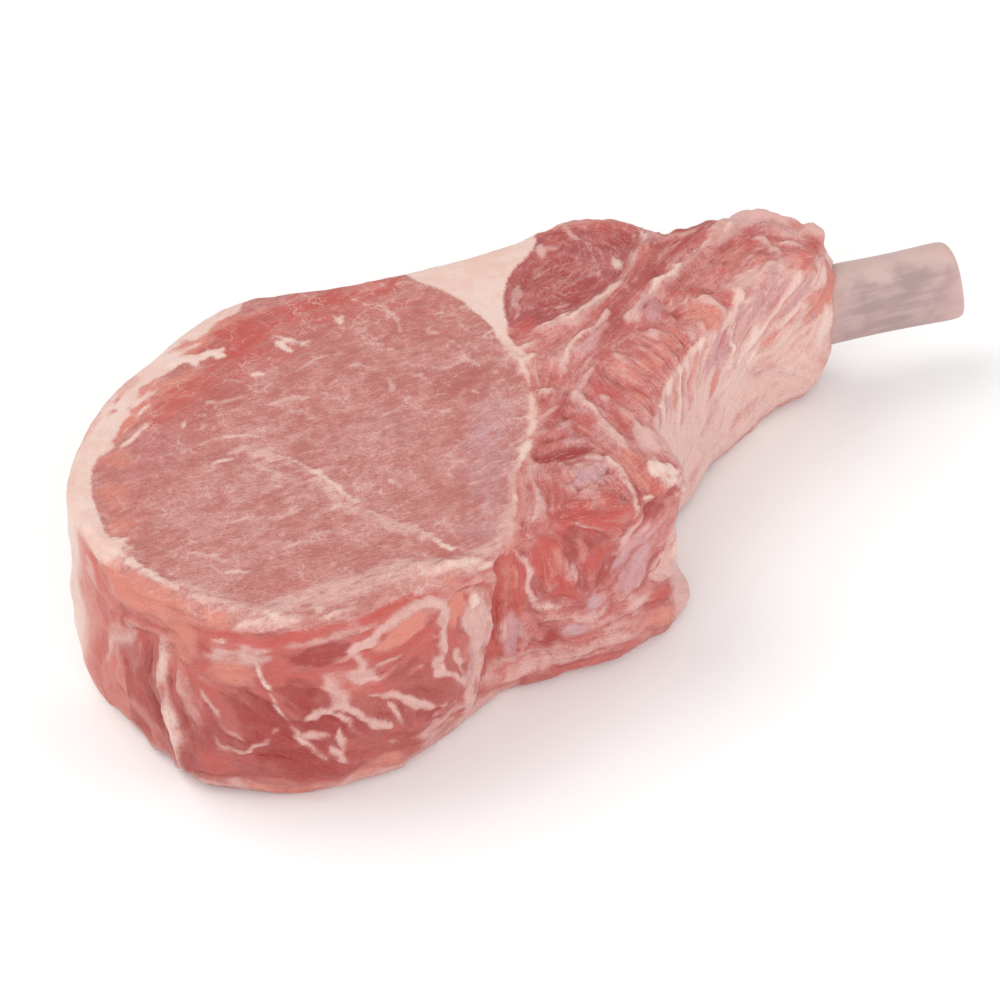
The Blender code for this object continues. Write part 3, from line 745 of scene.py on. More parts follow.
# %% The front wall, left part
front("warm", 3.6, 0.55, 0.2, 2.8, [(-90, 36), (-85, 35), (-80.5, 35.4)], [(-84, 31), (-81.4, 30.6)])
front("red", 2.4, 0.6, -0.2, 2.2, [(-80.5, 33), (-77.5, 32)], [(-89.4, 20), (-88.3, 13)], [(-92, 30),
      (-91, 26)])
front("film", 0.7, 0.65, 0.3, 0.8, [(-89, 30), (-89.5, 27.7), (-91, 21.5), (-91.5, 15.8)], [(-93.2, 35),
      (-92, 31)])
front("film", 1.3, 0.85, 1.4, 1.3, [(-84.4, 31), (-85.6, 24), (-85, 18), (-84.4, 12), (-84.2, 3)],
      taper=0.4)
front("fat", 0.9, 0.75, 0.3, 1.1, [(-84.6, 29), (-85.6, 23), (-85, 18), (-84.4, 12), (-84.2, 3.6)],
      taper=0.3)
front("film", 1.3, 0.7, 0, 1.3, [(-84, 2.4), (-80.8, 2.4), (-75, 1.8)])
# Painted shadow: a dark line down the left side of the pale ridge, where it falls in shade; the line is
# also sunk into the wall.
front("dark", 0.8, 0.5, -0.9, 1, [(-87.4, 27), (-88, 20), (-87.2, 14), (-86.6, 9)])
front("warm", 2.2, 0.5, 0, 2, [(-89, 10), (-86, 5)])
front("film", 1.5, 0.38, 0.2, 1.6, [(-82.6, 28), (-82, 22), (-81.4, 16)])
front("film", 1.7, 0.75, 0.5, 1.6, [(-79.6, 31.6), (-76, 32), (-70, 33.4)])
front("warm", 2.6, 0.85, 0.1, 2, [(-78.4, 28.6), (-73, 29.4)])
front("red", 4.2, 0.85, -0.2, 3, [(-76, 22), (-72, 18)], [(-68.6, 26.6), (-62, 24)], [(-72, 11), (-65, 10)])
front("dark", 2.8, 0.8, -0.3, 2.4, [(-68.2, 26.6), (-65.3, 25.4), (-62.4, 24)], [(-70.6, 10.4), (-66, 9.4)])
front("dark", 2.2, 0.45, -0.2, 2.2, [(-74.4, 22), (-71.4, 18)])
front("dark", 4.2, 0.85, 0, 3.4, [(-75, 23), (-68, 14)], [(-64, 22), (-58, 16)], [(-72, 13), (-62, 8.6)])
front("red", 3, 0.5, 0, 2.6, [(-60, 27), (-53, 27)], [(-46, 30), (-41, 31.6)])
front("film", 0.7, 0.85, 0.35, 0.9, [(-81.4, 25.6), (-78.9, 21.9), (-76.5, 17.9), (-74.6, 15.1)])
front("film", 0.6, 0.75, 0.35, 0.8, [(-80.4, 15.8), (-77.9, 13.2), (-74.7, 12), (-71.3, 14.6), (-69, 17.8)])
front("fat", 0.45, 0.8, 0.3, 0.7, [(-71.3, 32.3), (-70.2, 27), (-67.8, 19.8), (-65.1, 14), (-61.7, 10.1)])
front("film", 0.8, 0.8, 0.3, 0.9, [(-64.3, 19.6), (-61.3, 21.3), (-59, 21.7)], [(-65, 15.6), (-60.9, 14.8)],
      [(-59.6, 20.1), (-56.7, 15.4), (-54.9, 13.2)], [(-60.4, 12.3), (-58.6, 8.5)])
front("warm", 2, 0.45, 0, 2, [(-60, 28), (-57, 27)])
front("red", 3, 0.6, 0, 2.4, [(-82, 10), (-77, 8)])
front("warm", 1.8, 0.6, 0, 1.8, [(-74, 2.6), (-62, 2)], [(-56, 3), (-46, 5)])

# %% The front wall, right part
top("fat", 0.9, 0.6, 0.4, 1.3, [(-74.5, -41), (-70, -42.6), (-64, -43.7), (-57, -44)], taper=0.3)
front("film", 0.8, 0.6, 0.3, 1.2, [(-57, 38.4), (-50, 38.3), (-43, 38)], [(-66, 34.9), (-60, 34.8),
      (-52, 36)], taper=0.2)
front("red", 1, 0.8, -0.3, 0.8, [(-71, 36), (-64, 36.6), (-57, 37)], [(-54, 37), (-48, 37.2), (-42, 37)])
front("dark", 1.8, 0.9, -0.3, 1.3, [(-67, 32.6), (-61, 32), (-57, 33)])
front("film", 1, 0.75, 0.4, 1.1, [(-56, 32), (-51, 34.5), (-46, 35.5), (-42, 35.8)], [(-55.5, 31),
      (-53.5, 28.5)])
front("warm", 2.4, 0.9, 0.3, 1.4, [(-50.5, 31.5), (-46, 32.2), (-41.5, 33)], [(-37, 36), (-36.5, 29)])
front("red", 1.6, 0.8, -0.1, 1.2, [(-52, 29.5), (-46, 29), (-41, 30)])
front("film", 0.75, 0.95, 0.5, 0.6, [(-43.5, 35.8), (-41, 36.4), (-39, 35), (-38, 31), (-38.6, 26),
      (-40, 22), (-38.5, 19)])
front("film", 1.2, 0.7, 0.2, 1.4, [(-61, 29), (-58.5, 24), (-58.5, 20)], [(-57, 28), (-52, 26)])
front("film", 0.6, 0.85, 0.3, 0.6, [(-52, 28), (-46, 27.6), (-41, 27.4)], [(-52, 25.6), (-45, 25)],
      [(-48, 22.8), (-42, 22)])
front("film", 0.8, 0.85, 0.4, 0.64, [(-58, 22.5), (-55.5, 18), (-53, 15.4), (-50, 14.5)])
front("film", 0.8, 0.95, 0.45, 0.64, [(-53.5, 22.4), (-49, 21), (-45, 17.6), (-41, 13.2), (-37, 9.6),
      (-34, 8)])
front("film", 0.6, 0.85, 0.35, 0.6, [(-50, 19.5), (-48, 15), (-46, 11.5), (-42.5, 8.3)], [(-59, 15.5),
      (-58.5, 10.5)], [(-40, 20), (-36, 16), (-33.5, 10)], [(-36, 22), (-34, 14)])
front("film", 0.4, 0.7, 0.15, 0.6, [(-54, 11), (-45, 7)], [(-64, 12), (-61, 9)])
front("red", 2.6, 0.7, -0.1, 1.8, [(-52, 24), (-43, 23)], [(-57, 12), (-50, 8)], [(-48, 13), (-44, 11)])
front("dark", 1.6, 0.6, -0.3, 1.4, [(-50, 24), (-43, 23.4)], [(-56, 12.4), (-51, 9)], [(-47, 14),
      (-45, 12)], [(-57, 17), (-55, 14)], [(-41, 9.5), (-39, 8)])
front("warm", 1.4, 0.6, 0, 1.2, [(-38, 6), (-33.5, 5.5)])
front("film", 2.8, 0.85, 0.8, 1.6, [(-32.5, 31), (-31.2, 24), (-31, 14), (-32, 5)], taper=0.3)
# A small white dot of fat that also stands for a wet glint: partly a painted highlight.
front("fat", 0.9, 0.9, 0.5, 0.72, [(-33.3, 36), (-33, 31)])
front("lilac", 0.7, 0.7, 0.2, 0.6, [(-33, 23), (-32.4, 10)], [(-29.6, 24), (-29.2, 10)])
front("red", 0.9, 0.95, -1.3, 0.72, [(-27.2, 36), (-26.6, 28), (-26.2, 18), (-27, 10)], taper=0.5)
front("warm", 1.4, 0.6, 0.2, 1.2, [(-24.6, 35), (-24.4, 27)])
front("lilac", 2, 0.75, 0.3, 1.4, [(-23, 22), (-23, 9)])
front("film", 0.5, 0.9, 0.3, 0.6, [(-25, 24), (-23.8, 14)], [(-21, 36), (-19.6, 28), (-19, 23),
      (-14, 23.4)])
front("dark", 2.4, 0.85, -0.3, 1.5, [(-18, 12), (-13, 10.5)])
front("film", 1, 0.5, 0, 1, [(-24, 5), (-12, 5)])

# %% The wall of the chine
front("red", 3.2, 0.85, 0, 1.8, [(-14, 38.4), (-5, 37)])
front("red", 3.4, 0.95, 0.3, 2, [(-17, 36), (-15.6, 29)], [(-12, 36), (-8, 33)], [(-8.6, 30), (-7, 26)],
      [(-14, 26), (-12, 22)])
front("dark", 2.6, 0.8, -0.4, 1.8, [(-13.4, 34.6), (-11, 29.6)], [(-8.8, 34), (-7.6, 30)])
front("red", 2.2, 0.8, 0.2, 1.5, [(-24, 35), (-22.6, 28), (-21.6, 21)])
front("warm", 0.8, 0.6, 0.3, 0.9, [(-15.6, 35), (-15, 30)], [(-10.4, 34), (-10, 28)], [(-24, 34),
      (-22.8, 28)])
front("film", 0.45, 0.85, 0.3, 0.6, [(-12.3, 38.6), (-10.9, 38), (-9.3, 37.1), (-6.1, 35.8)])
front("film", 0.4, 0.6, 0.3, 0.7, [(-16.6, 32), (-16, 25)], [(-12.4, 29), (-12, 23)], [(-9.4, 28),
      (-9.4, 23.6)])
front("lilac", 4.2, 0.65, 0, 2.6, [(-2, 29), (3, 25)], [(-2, 24), (4, 20.6)])
front("red", 2.4, 0.6, 0.1, 2, [(-8, 35), (-4, 33)], [(-3, 35.6), (0, 33)], [(-6, 30), (-4, 28)])
front("dark", 1.1, 0.5, -0.3, 1.2, [(-6, 34.6), (-5, 31.6)], [(-2, 34.6), (-1.4, 32)], [(-12, 37.6),
      (-11, 36)])
front("film", 0.6, 0.75, 0.4, 0.8, [(6, 29.6), (1.4, 26.4), (-2.6, 21.4)], [(6.6, 26), (3, 22),
      (0.4, 18.6)], [(3, 31.6), (-1.6, 28.6), (-5, 24)], [(7.6, 22), (5, 18.6)], [(1.6, 35), (-1.6, 32.4)])
front("dark", 0.7, 0.6, -0.4, 0.8, [(4.6, 29.4), (0, 25.6), (-3.4, 21)], [(5.4, 25), (2, 21.4)], [(1, 31.4),
      (-3.2, 27.6)], [(6.6, 22.4), (3.6, 18.6)])
front("dark", 1.2, 0.8, -0.5, 1, [(2.4, 36.6), (2.8, 34.4)])
front("film", 0.7, 0.85, 0.4, 0.8, [(0.2, 38), (0, 36.3), (-0.7, 32.6), (-1.1, 29.6), (-2.6, 27)])
front("film", 0.5, 0.9, 0.3, 0.7, [(-23.6, 37.6), (-22.1, 35.5), (-20, 30.6), (-19.3, 25), (-18.6, 21.7)])
front("film", 1.3, 0.8, 0.3, 1.4, [(-19.4, 21.6), (-15.6, 20), (-11.5, 19.4)], [(-10, 15.6), (-4, 16)])
front("lilac", 1.8, 0.85, 0.3, 1.3, [(-7.6, 19.4), (-6.6, 16.4)], [(-13, 14), (-9, 13)])
front("fat", 0.7, 0.6, 0.3, 1, [(-18, 21), (-14.6, 20)], [(-4, 14.6), (0.7, 15.4)], [(-12, 17), (-10, 16)])
front("film", 1.4, 0.8, 0.3, 1.3, [(-1.6, 16), (0.7, 14.8), (1, 11)])
front("film", 2.4, 0.9, 0.4, 1.6, [(9, 27), (9.6, 20), (11, 14.6), (13, 11)], [(5.4, 17), (9.4, 16)])
front("fat", 0.8, 0.7, 0.3, 1.2, [(9.4, 25), (10, 19), (11.6, 14)])
front("red", 2.6, 0.95, 0.6, 1.6, [(4.4, 12.4), (9.6, 10)])
front("warm", 1.8, 0.7, 0.2, 1.5, [(3, 7.6), (10, 5.6)])
front("dark", 0.7, 0.6, -0.3, 0.9, [(4.6, 10.6), (8.6, 8.8)], [(6.6, 13), (9.6, 12)])
front("film", 2.6, 0.6, 0, 2.6, [(-6, 10), (0, 9)], [(-16, 9), (-6, 7)], [(-30, 7), (-18, 7)], [(-44, 6),
      (-34, 7)])
front("red", 1.8, 0.4, 0, 1.8, [(-14, 10.6), (-8, 11)], [(-12, 3), (2, 3)])

# %% [markdown]
# Under the rib the wall is the inside of the rib cage. Strips of muscle fan out below the crest, from
# the upper right to the lower left, with glossy pale bands between them, and fade into the membrane
# that covers everything down to the board.

# %% The inner wall
front("lilac", 2, 0.8, 0.3, 1.5, [(47.6, 37.6), (44, 34.4), (41.4, 30.6)], [(52, 35), (49, 32), (46.4, 29)],
      [(57.4, 33), (54, 30.6), (50.6, 28)])
front("dark", 1.1, 0.55, -0.5, 1.1, [(46, 35.6), (43.4, 32.6), (41.4, 29.9), (40, 27)], [(52.2, 32),
      (49.6, 29.4), (46.8, 27)])
front("red", 1.2, 0.5, 0, 1.2, [(51, 34), (48, 31)], [(36, 33), (35, 30)], [(34.6, 31.6), (32, 29)])
front("warm", 1.7, 0.8, -0.2, 1.4, [(63.4, 28.6), (62.8, 26.4), (59, 24.8), (55.5, 23.6)])
front("red", 1.2, 0.6, 0, 1.2, [(63, 29.6), (60, 28)], [(55, 27), (51, 25)])
front("film", 0.8, 0.75, 0.5, 0.9, [(48.4, 37.6), (44.4, 33.6), (41.9, 31), (39.6, 27.6), (38.4, 24)])
front("fat", 0.8, 0.75, 0.5, 0.9, [(53.4, 35.8), (49.5, 31.4), (44, 27), (38.9, 23.2), (36, 19)],
      [(60.9, 32.5), (55.1, 28.8), (47.7, 25), (43, 21)])
front("film", 0.7, 0.75, 0.4, 0.8, [(57, 34.4), (52.6, 31), (47.6, 27.4), (43.4, 24)], [(63, 31),
      (57.6, 27.4), (51, 24), (46, 20.6)], [(42.4, 37), (40, 33), (38.6, 29)])
front("fat", 0.5, 0.85, 0.5, 0.6, [(38.6, 34), (37.4, 31), (37.9, 28), (36.6, 25.5)])
front("dark", 1, 0.6, -0.4, 1, [(35.6, 33), (34.4, 30.6), (32.2, 28)], [(31, 34), (29.4, 30), (28.2, 26)])
front("lilac", 1.2, 0.75, 0.3, 1, [(34, 34), (32.2, 30.6), (29.8, 27.6)], [(22, 36), (22.6, 30.1),
      (22, 25)], [(17, 36), (18, 29)])
front("warm", 1.2, 0.65, 0.3, 1, [(31.6, 35.6), (29.6, 32)], [(27.3, 35), (25, 31), (24, 27)], [(19.6, 37),
      (20, 30)], [(49.6, 26), (46, 23.6)], [(33.6, 25), (31.6, 21.6)])
front("film", 0.7, 0.85, 0.4, 0.8, [(30, 37.6), (27.3, 33), (24.5, 29.6), (22.4, 25)], [(25, 37), (24, 32),
      (22.6, 29)], [(20.4, 37.6), (18.6, 34.6), (17.4, 30)], [(33, 37), (31.4, 33.6), (28.6, 29.6)])
front("fat", 0.4, 0.7, 0.4, 0.7, [(28.6, 35), (26, 31), (24, 27)], [(21.4, 35), (21, 29), (20.4, 23)],
      [(17.4, 34), (16.8, 29)])
front("dark", 0.6, 0.45, -0.3, 0.8, [(23.4, 36), (23.2, 31)], [(19, 34), (19, 30)])
front("lilac", 2.4, 0.3, 0, 2.2, [(44, 18), (50, 16.6)], [(30, 16), (34, 17.6)])
front("warm", 1.8, 0.7, 0.4, 1.4, [(64.6, 33), (65.4, 28), (65.2, 23)])
front("film", 1.6, 0.8, 0.3, 1.3, [(64.6, 19), (64, 12)])
front("red", 1.6, 0.3, 0, 1.6, [(61, 12), (64, 9)], [(40, 8), (46, 10)], [(24, 8), (30, 9)])
top("film", 1.2, 0.85, 1.1, 0.9, [(60.6, 33.4), (62.6, 32)])

# %% [markdown]
# Meat is made of strands, and on the torn sides the strands follow the same lines as the streaks. So
# the strokes also comb the block: at every point the directions of the strokes around it are averaged
# (as products of the direction with itself, so that a stroke drawn the other way round counts the
# same), and noise is then smeared along that direction. What comes out looks like fibres.

# %% Comb the strands
STROKE_REACH, STROKE_SPREAD = 13.0, 30.0
EYE_PULL, EYE_GRAIN = 60.0, np.array([0.96, 0.28, 0.0])
SMEAR_STEPS = 11
LEFT_TO_RIGHT = (0.9, 0.35, -0.25)
starts = np.concatenate([line[:-1] for _, line, *_ in strokes])
ends = np.concatenate([line[1:] for _, line, *_ in strokes])
middles, ways = (starts + ends) / 2, ends - starts
lengths = np.linalg.norm(ways, axis=1, keepdims=True)
ways = ways / lengths
spread = np.zeros((len(skin), 3, 3))
for centre, way, length in zip(middles, ways, lengths[:, 0]):
    near = np.flatnonzero((np.abs(skin - centre) < STROKE_REACH).all(axis=1))
    weight = length * np.exp(-((skin[near] - centre) ** 2).sum(axis=1) / STROKE_SPREAD)
    spread[near] += weight[:, None, None] * np.outer(way, way)
spread += 1e-4 * np.diag([1.0, 0.0, 0.3])
spread += (in_eye * np.abs(facing[:, 2]))[:, None, None] * EYE_PULL * np.outer(EYE_GRAIN, EYE_GRAIN)
across = np.eye(3) - facing[:, :, None] * facing[:, None, :]
spread = across @ spread @ across
comb = np.linalg.eigh(spread)[1][:, :, 2]
comb *= np.where(comb @ LEFT_TO_RIGHT < 0, -1.0, 1.0)[:, None]


def smear(size, reach, seed):
    """Noise drawn out along the comb, evened to a spread of 1."""
    total = np.zeros(len(skin))
    for step in np.linspace(-reach, reach, SMEAR_STEPS):
        total += cloud(bent + comb * step, size, seed, 1)
    return (total - total.mean()) / total.std()


strands = 0.75 * smear(2.1, 6.0, 101) + 0.5 * smear(1.2, 4.0, 111)
frayed = 0.45 * smear(0.9, 2.6, 121)
print("strands:", strands.std().round(2))

# %% [markdown]
# Now everything is laid on in order. First the broad tones: the two layers of fat are fat all through,
# the cap muscle is the darkest, and the side walls differ. The back is the loin's fatty outside, the
# front is torn muscle, and the wall under the rib is covered by membrane, which is made paler still as
# painted light. Then come the strands, then painted shade as a deeper red low on the front wall, then a
# pale band at its foot, painted light reflected from the floor, then the strokes, and last a film over
# the chine's right end.

# %% Where the walls are
wall = smooth(1 - np.abs(facing[:, 2]), 0.25, 0.6)
x, y, z = bent.T
faces_front = smooth(-facing[:, 1], -0.2, 0.3)
front_wall = wall * (in_eye * smooth(y, -10, -16) + in_seam_fat * smooth(y, -16, -20)) * faces_front
# Painted shade: the lower half of the front wall, turned towards the underside, is darkened to a deeper
# red.
low_front_shade = front_wall * smooth(z, 28, 16) * smooth(z, 1, 6) * smooth(x, -28, -40)
chine_wall = wall * in_chine * smooth(x, 17, 12)
inner_wall = wall * in_rib_meat * faces_front
upper_inner = inner_wall * smooth(z - 0.35 * (50 - x), 14, 26)
back_wall = wall * smooth(facing[:, 1], 0.1, 0.5)
left_wall = wall * in_fat_cap * smooth(-facing[:, 1], -0.1, 0.35) * smooth(y, -2, -12)
pale_strands = smooth(strands, 0.1, 1.6)
dark_strands = smooth(-strands, 0.2, 1.6)
fibre_length = 1 - (1 - wall) * (0.65 * in_eye + 0.55 * in_cap)

# %% Lay on the tones
everywhere = np.arange(len(skin))
for name, mask in [
    ("red", in_rib_meat * 0.15),
    ("red", in_chine * 0.3),
    ("red", front_wall * 0.75),
    ("fat", in_fat_cap),
    ("fat", in_seam_fat * smooth(y, 4, 14)),
    ("fat", back_wall * 0.9 * smooth(cloud(skin, 14, 5) + 0.9, 0, 0.5)),
    ("film", inner_wall * 0.85),
    # partly the membrane's own pale colour, partly painted light: the fat tone lifts a wall that the lamps
    # light weakly
    ("fat", inner_wall * 0.6),
    ("lean", left_wall * 0.95),
    ("warm", left_wall * 0.5),
    ("red", left_wall * 0.4),
    ("film", (front_wall + chine_wall) * pale_strands * 0.45),
    ("dark", (front_wall + chine_wall) * dark_strands * 0.6),
    ("film", left_wall * pale_strands * 0.3),
    ("red", left_wall * dark_strands * 0.4),
    ("fat", inner_wall * smooth(strands, 0.2, 1.8) * 0.35),
    ("lilac", upper_inner * dark_strands * 0.75),
    ("fat", upper_inner * smooth(strands, 0.3, 1.6) * 0.5),
    ("red", in_rib_meat * (1 - wall) * dark_strands * 0.4),
    ("film", (in_rib_meat + in_chine) * (1 - wall) * pale_strands * 0.4),
    # painted shade low on the front wall, as a deeper red and a dark glaze
    ("red", low_front_shade * 0.75),
    ("dark", low_front_shade * 0.65),
    # painted reflected light: a pale band at the foot of the front wall, for light thrown up by the floor
    ("film", front_wall * smooth(z, 6, 0) * 0.75),
]:
    lay(everywhere, mask, name)
for mark in strokes:
    lay_stroke(*mark)
lay(everywhere, wall * in_chine * smooth(x, 9, 13) * 0.8, "film")
print(len(strokes), "strokes")

# %% [markdown]
# The height of all the marks is now put into the mesh, on top of a low unevenness: lumps of a few
# millimetres on the torn walls, and hardly any on the cut face. Nothing may sink below the floor.

# %% Model the surface
torn = wall * (0.6 * cloud(skin, 12, 51) + 0.3 * cloud(skin, 4.5, 61))
torn += (0.4 * front_wall + 0.35 * chine_wall + 0.25 * left_wall + 0.28 * upper_inner) * strands
coarse = (in_rib_meat + in_chine + in_cap * smooth(in_cap, 0.5, 1)) * (1 - wall)
torn += coarse * (0.25 * strands + 0.3 * cloud(skin, 5, 91))
height *= 1 + 0.8 * coarse
cut = (1 - wall) * (0.16 * cloud(skin, 16, 71) + 0.07 * cloud(skin, 2.4, 81))
moved = skin + facing * (height + torn + cut)[:, None]
moved[:, 2] = np.maximum(moved[:, 2], low[2])
block.data.vertices.foreach_set("co", (moved * MM).astype(np.float32).ravel())
block.data.update()
apply(block, "SMOOTH", factor=0.5, iterations=1)
skin = points_of(block)
print("height of the marks in mm:", round(height.min(), 2), "to", round(height.max(), 2))

# %% [markdown]
# The block is cut along the seams again, so that every muscle and every layer of fat is a closed
# piece that could be lifted out. A deep upright block with the region's outline is the cutter: what
# it shares with the meat becomes the piece, and the rest goes on to the next cut. The fast solver is
# made for closed meshes like these.

# %% Cut along the seams
CUTTER_FOOT, CUTTER_TOP = -20.0, 80.0


def cutter_of(seam):
    """An upright block over the region that the seam closes off."""
    bm = bmesh.new()
    base = bm.faces.new([bm.verts.new((a * MM, b * MM, CUTTER_FOOT * MM)) for a, b in region(seam)])
    raised = bmesh.ops.extrude_face_region(bm, geom=[base])["geom"]
    for vert in raised:
        if isinstance(vert, bmesh.types.BMVert):
            vert.co.z = CUTTER_TOP * MM
    bmesh.ops.triangulate(bm, faces=bm.faces[:])
    bmesh.ops.recalc_face_normals(bm, faces=bm.faces[:])
    mesh = bpy.data.meshes.new("cutter")
    bm.to_mesh(mesh)
    bm.free()
    obj = bpy.data.objects.new("cutter", mesh)
    bpy.context.scene.collection.objects.link(obj)
    return obj


def take(rest, seam, name):
    """Cuts the seam's region out of the rest and returns it as a new piece."""
    piece = bpy.data.objects.new(name, rest.data.copy())
    bpy.context.scene.collection.objects.link(piece)
    cutter = cutter_of(seam)
    apply(piece, "BOOLEAN", operation="INTERSECT", solver="MANIFOLD", object=cutter)
    apply(rest, "BOOLEAN", operation="DIFFERENCE", solver="MANIFOLD", object=cutter)
    bpy.data.objects.remove(cutter, do_unlink=True)
    return piece


block_copy = bpy.data.objects.new("block_copy", block.data.copy())
pieces = {
    "fat_cap": take(block, "eye_to_fat_cap", "fat_cap_piece"),
    "eye_muscle": take(block, "eye_to_seam_fat", "eye_piece"),
    "seam_fat": take(block, "seam_fat_to_cap", "seam_fat_piece"),
    "cap_muscle": take(block, "cap_to_rib_meat", "cap_piece"),
    "chine_muscle": take(block, "rib_meat_to_chine", "chine_piece"),
    "rib_meat": block,
}
block.name = "rib_meat_piece"

# %% [markdown]
# Each piece takes its tones from the nearest point of the seamless block, so the paint runs across the
# seams without a step. The outer skin also keeps the block's normals, so that no cut catches the light,
# while the hidden faces inside a cut stay flat.

# %% Carry the paint and the shading over
skin = points_of(block_copy)
facing = normals_of(block_copy)
lookup = KDTree(len(skin))
for i, point in enumerate(skin):
    lookup.insert(Vector(point), i)
lookup.balance()


def keep_shading(mesh, nearest):
    """Gives each face corner on the outer skin the normal that the seamless block has there."""
    corners = np.empty(len(mesh.loops), np.int32)
    mesh.loops.foreach_get("vertex_index", corners)
    sides = np.empty(len(mesh.polygons), np.int32)
    mesh.polygons.foreach_get("loop_total", sides)
    own = np.empty(len(mesh.polygons) * 3, np.float32)
    mesh.polygons.foreach_get("normal", own)
    own = np.repeat(own.reshape(-1, 3), sides, axis=0)
    wished = facing[nearest][corners]
    outer = (own * wished).sum(axis=1) > 0.5
    mesh.normals_split_custom_set(np.where(outer[:, None], wished, own))


def store(piece, name, values):
    """Keeps a number or a direction for each point on the mesh, for the finish to read."""
    kind, field = ("FLOAT", "value") if values.ndim == 1 else ("FLOAT_VECTOR", "vector")
    layer = piece.data.attributes.new(name, kind, "POINT")
    layer.data.foreach_set(field, values.astype(np.float32).ravel())


layers = dict(tone, cut_face=1 - wall, comb=comb * fibre_length[:, None])
for node, piece in pieces.items():
    nearest = np.array([lookup.find(Vector(point))[1] for point in points_of(piece)])
    for name, values in layers.items():
        store(piece, name, values[nearest])
    keep_shading(piece.data, nearest)
    print(node, len(piece.data.polygons), "faces")
bpy.data.objects.remove(block_copy, do_unlink=True)

# %% [markdown]
# One recipe colours all the meat; only its lean colour and its grain differ from muscle to muscle. The
# painted tones are laid over the lean one by one, and fine noise frays the edge of each, because fat
# and muscle never part along a clean line.

# %% The meat's finish
FAT, CREAM, FILM = seen(240, 208, 197), seen(236, 196, 182), seen(229, 182, 173)
TONE_COLOURS = {"red": seen(200, 84, 75), "dark": seen(167, 52, 47), "warm": seen(223, 133, 115),
                "lilac": seen(210, 158, 162)}


def frayed_share(flesh, name, fray, start, end):
    """How much of a painted tone shows at each point, with its edge frayed by noise."""
    amount = flesh.painted(name)
    return flesh.step(amount + fray * flesh.step(amount, 0.0, 0.3), start, end)


def meat(name, lean, pale, fibre, web):
    """Raw meat. Fibre is how strongly the strands show, and web how strongly the thin marbling does."""
    flesh = Finish(name)
    place = flesh.place()
    fine = flesh.grain(place, 0.5, 2.0, 0.6)
    middling = flesh.grain(place, 2.2, 3.0, 0.6)
    broad = flesh.grain(place, 9.0, 2.0)
    threads = flesh.combed(0.42, 1.1)
    wisps = flesh.combed(1.1, 3.2)
    cut_face = flesh.painted("cut_face")
    fray = (fine - 0.5) * 0.5 + (middling - 0.5) * 0.6
    mottled = flesh.step(broad * 0.3 + middling * 0.4 + fine * 0.3, 0.4, 0.6)
    colour = flesh.mix(seen(*lean), seen(*pale), mottled)
    for tone_name, tone_colour in TONE_COLOURS.items():
        colour = flesh.mix(colour, tone_colour, frayed_share(flesh, tone_name, fray * 0.7, 0.0, 1.0))
    strand = threads * 0.55 + wisps * 0.45
    shows = (cut_face * 0.5 + 0.5) * fibre
    colour = flesh.mix(colour, TONE_COLOURS["dark"], flesh.step(strand, 0.5, 0.43) * shows * 0.5)
    colour = flesh.mix(colour, FILM, flesh.step(strand, 0.5, 0.57) * shows * 0.6)
    patches = flesh.step(middling * 0.5 + broad * 0.5, 0.42, 0.6)
    colour = flesh.mix(colour, FILM, flesh.veins(6.0, 0.5) * patches * cut_face * web)
    colour = flesh.mix(colour, FILM, flesh.veins(2.6, 0.35) * patches * cut_face * web * 0.5)
    colour = flesh.mix(colour, FILM, frayed_share(flesh, "film", fray * 0.8, 0.05, 1.0) * 0.92)
    fat_share = frayed_share(flesh, "fat", fray * 0.9, 0.05, 0.95)
    fat_colour = flesh.mix(FAT, CREAM, flesh.step(broad * 0.4 + middling * 0.6, 0.4, 0.62))
    colour = flesh.mix(colour, fat_colour, fat_share)
    relief = flesh.step(strand, 0.4, 0.6) * (1 - fat_share * 0.7) + middling * 0.4 + fine * 0.2
    bump = flesh.add("ShaderNodeBump", None, {"Height": relief, "Strength": 0.45, "Distance": 0.0006})
    flesh.feed(Base_Color=colour, Roughness=flesh.step(middling, 0.2, 0.8) * 0.2 + 0.32, Normal=bump,
               Coat_Weight=0.12, Coat_Roughness=0.25)
    return flesh.material


MEATS = {
    "eye_muscle": ("eye_lean", (192, 113, 105), (211, 143, 134), 0.2, 0.7),
    "fat_cap": ("fat", (214, 122, 110), (222, 140, 127), 0.3, 0.1),
    "seam_fat": ("seam_fat", (200, 108, 98), (216, 138, 126), 0.3, 0.2),
    "cap_muscle": ("dark_lean", (174, 80, 78), (196, 108, 103), 0.35, 0.4),
    "rib_meat": ("streaky_lean", (200, 110, 105), (222, 150, 141), 0.75, 0.3),
    "chine_muscle": ("chine_lean", (190, 98, 92), (214, 144, 137), 0.6, 0.4),
}
for node, piece in pieces.items():
    slot, *recipe = MEATS[node]
    piece.data.materials.clear()
    piece.data.materials.append(meat(slot, *recipe))
    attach(piece, "root")
    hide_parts(node)

# %% [markdown]
# The rib is a flat bar of bone, scraped clean past the meat and sawn off at its tip. Its shape is
# known well from the CAD, so the copy of that is only rounded: subdivided once more, wrapped in an
# even skin, and smoothed so that the flats run softly into each other.

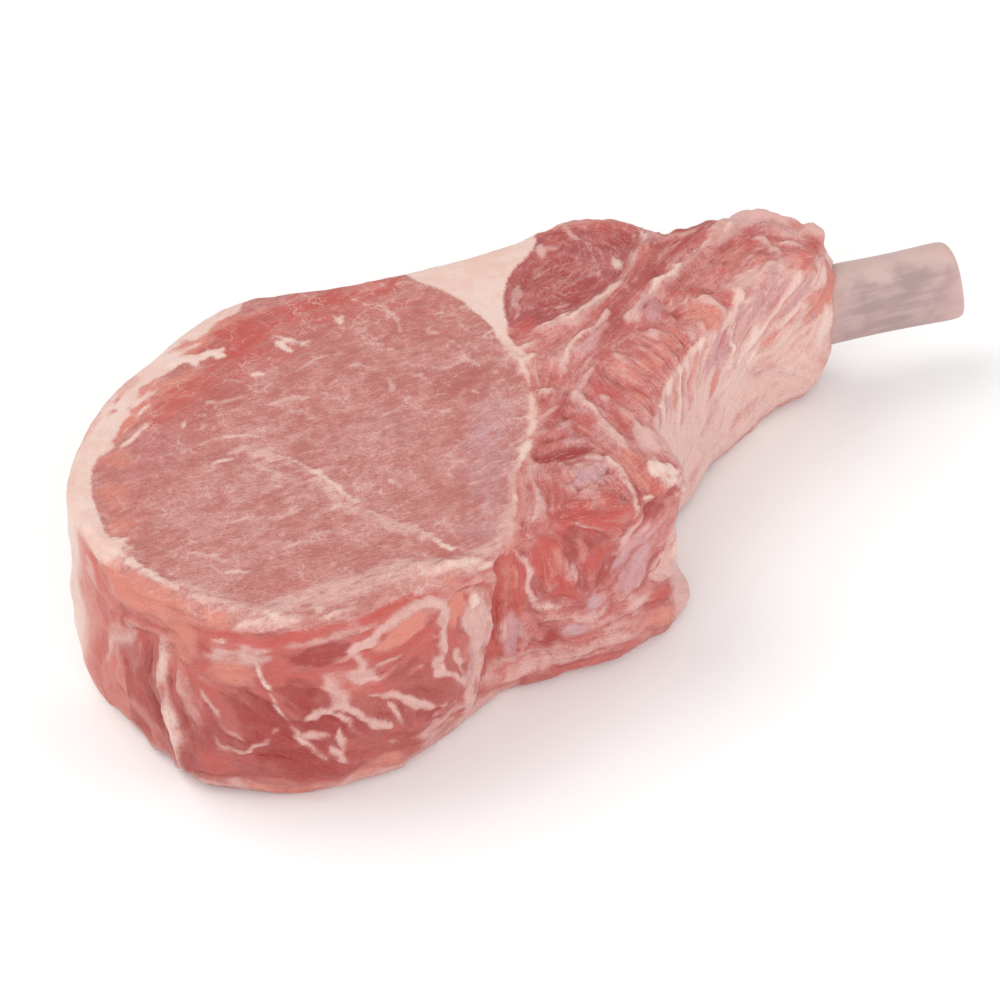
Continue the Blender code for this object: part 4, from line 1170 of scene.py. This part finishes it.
# %% The rib
rib = traced("rib_bone")
rib.name = "rib_piece"
rib.data.remesh_voxel_size = 0.4 * MM
apply(rib, "SUBSURF", levels=2, render_levels=2)
only(rib)
bpy.ops.object.voxel_remesh()
apply(rib, "SMOOTH", factor=0.5, iterations=6)
only(rib)
bpy.ops.object.shade_smooth_by_angle(angle=math.radians(60))
TIP = float(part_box("rib_bone")[1][0]) / MM
scraped = points_of(rib)
sawn = smooth(normals_of(rib)[:, 0], 0.7, 0.9) * smooth(scraped[:, 0], TIP - 8, TIP - 6)
face = scraped[sawn > 0.5]
from_middle = (scraped - face.mean(axis=0))[:, 1:] / (np.ptp(face, axis=0)[1:] / 2)
inward = 1 - np.linalg.norm(from_middle, axis=1)
store(rib, "sawn", sawn)
store(rib, "marrow", sawn * smooth(inward, 0.12, 0.3))
print("sawn face:", len(face), "points")

# %% [markdown]
# Scraped bone is a greyish pink, with a painted highlight along its upper edge and painted shade low
# on its side. It blushes towards the tip, where blood shows through, and has long faint scrape marks.
# The sawn end shows red marrow inside a pale rim.

# %% The finish of the bone
bone = Finish("bone")
place = bone.place()
along = bone.add("ShaderNodeSeparateXYZ", None, {"Vector": place}, "X") * (1 / MM)
up = bone.add("ShaderNodeSeparateXYZ", None, {"Vector": place}, "Z") * (1 / MM)
drawn_out = bone.add("ShaderNodeMapping", None, {"Vector": place, "Scale": (0.1, 1.0, 1.0)})
scrapes = bone.grain(drawn_out, 1.4, 3.0, 0.6)
cloudy = bone.grain(place, 5.0, 3.0)
pores = bone.grain(place, 0.8, 3.0, 0.7)
mottled = bone.step(scrapes * 0.5 + cloudy * 0.5, 0.4, 0.62)
colour = bone.mix(seen(176, 148, 147), seen(196, 168, 164), mottled)
for shade, amount in [
    # painted highlight along the upper edge
    ((218, 189, 179), bone.step(up + cloudy * 6, 27.0, 30.0) * 0.7),
    # painted shade low on the side
    ((180, 148, 148), bone.step(up + cloudy * 5, 17.5, 13.5) * 0.6),
    ((216, 176, 170), bone.step(along + cloudy * 12, TIP - 4, TIP + 5) * 0.8),
    ((214, 168, 160), bone.step(along + cloudy * 4, TIP - 24, TIP - 27) * 0.5),
    ((232, 204, 196), bone.painted("sawn")),
]:
    colour = bone.mix(colour, seen(*shade), amount)
marrow = bone.mix(seen(205, 119, 115), seen(165, 78, 74), bone.step(pores, 0.4, 0.6))
colour = bone.mix(colour, marrow, bone.painted("marrow"))
relief = scrapes * 0.6 + pores * 0.15
bump = bone.add("ShaderNodeBump", None, {"Height": relief, "Strength": 0.3, "Distance": 0.0005})
bone.feed(Base_Color=colour, Roughness=bone.step(cloudy, 0.3, 0.7) * 0.15 + 0.36, Normal=bump)
rib.data.materials.clear()
rib.data.materials.append(bone.material)
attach(rib, "root")
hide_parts("rib_bone")
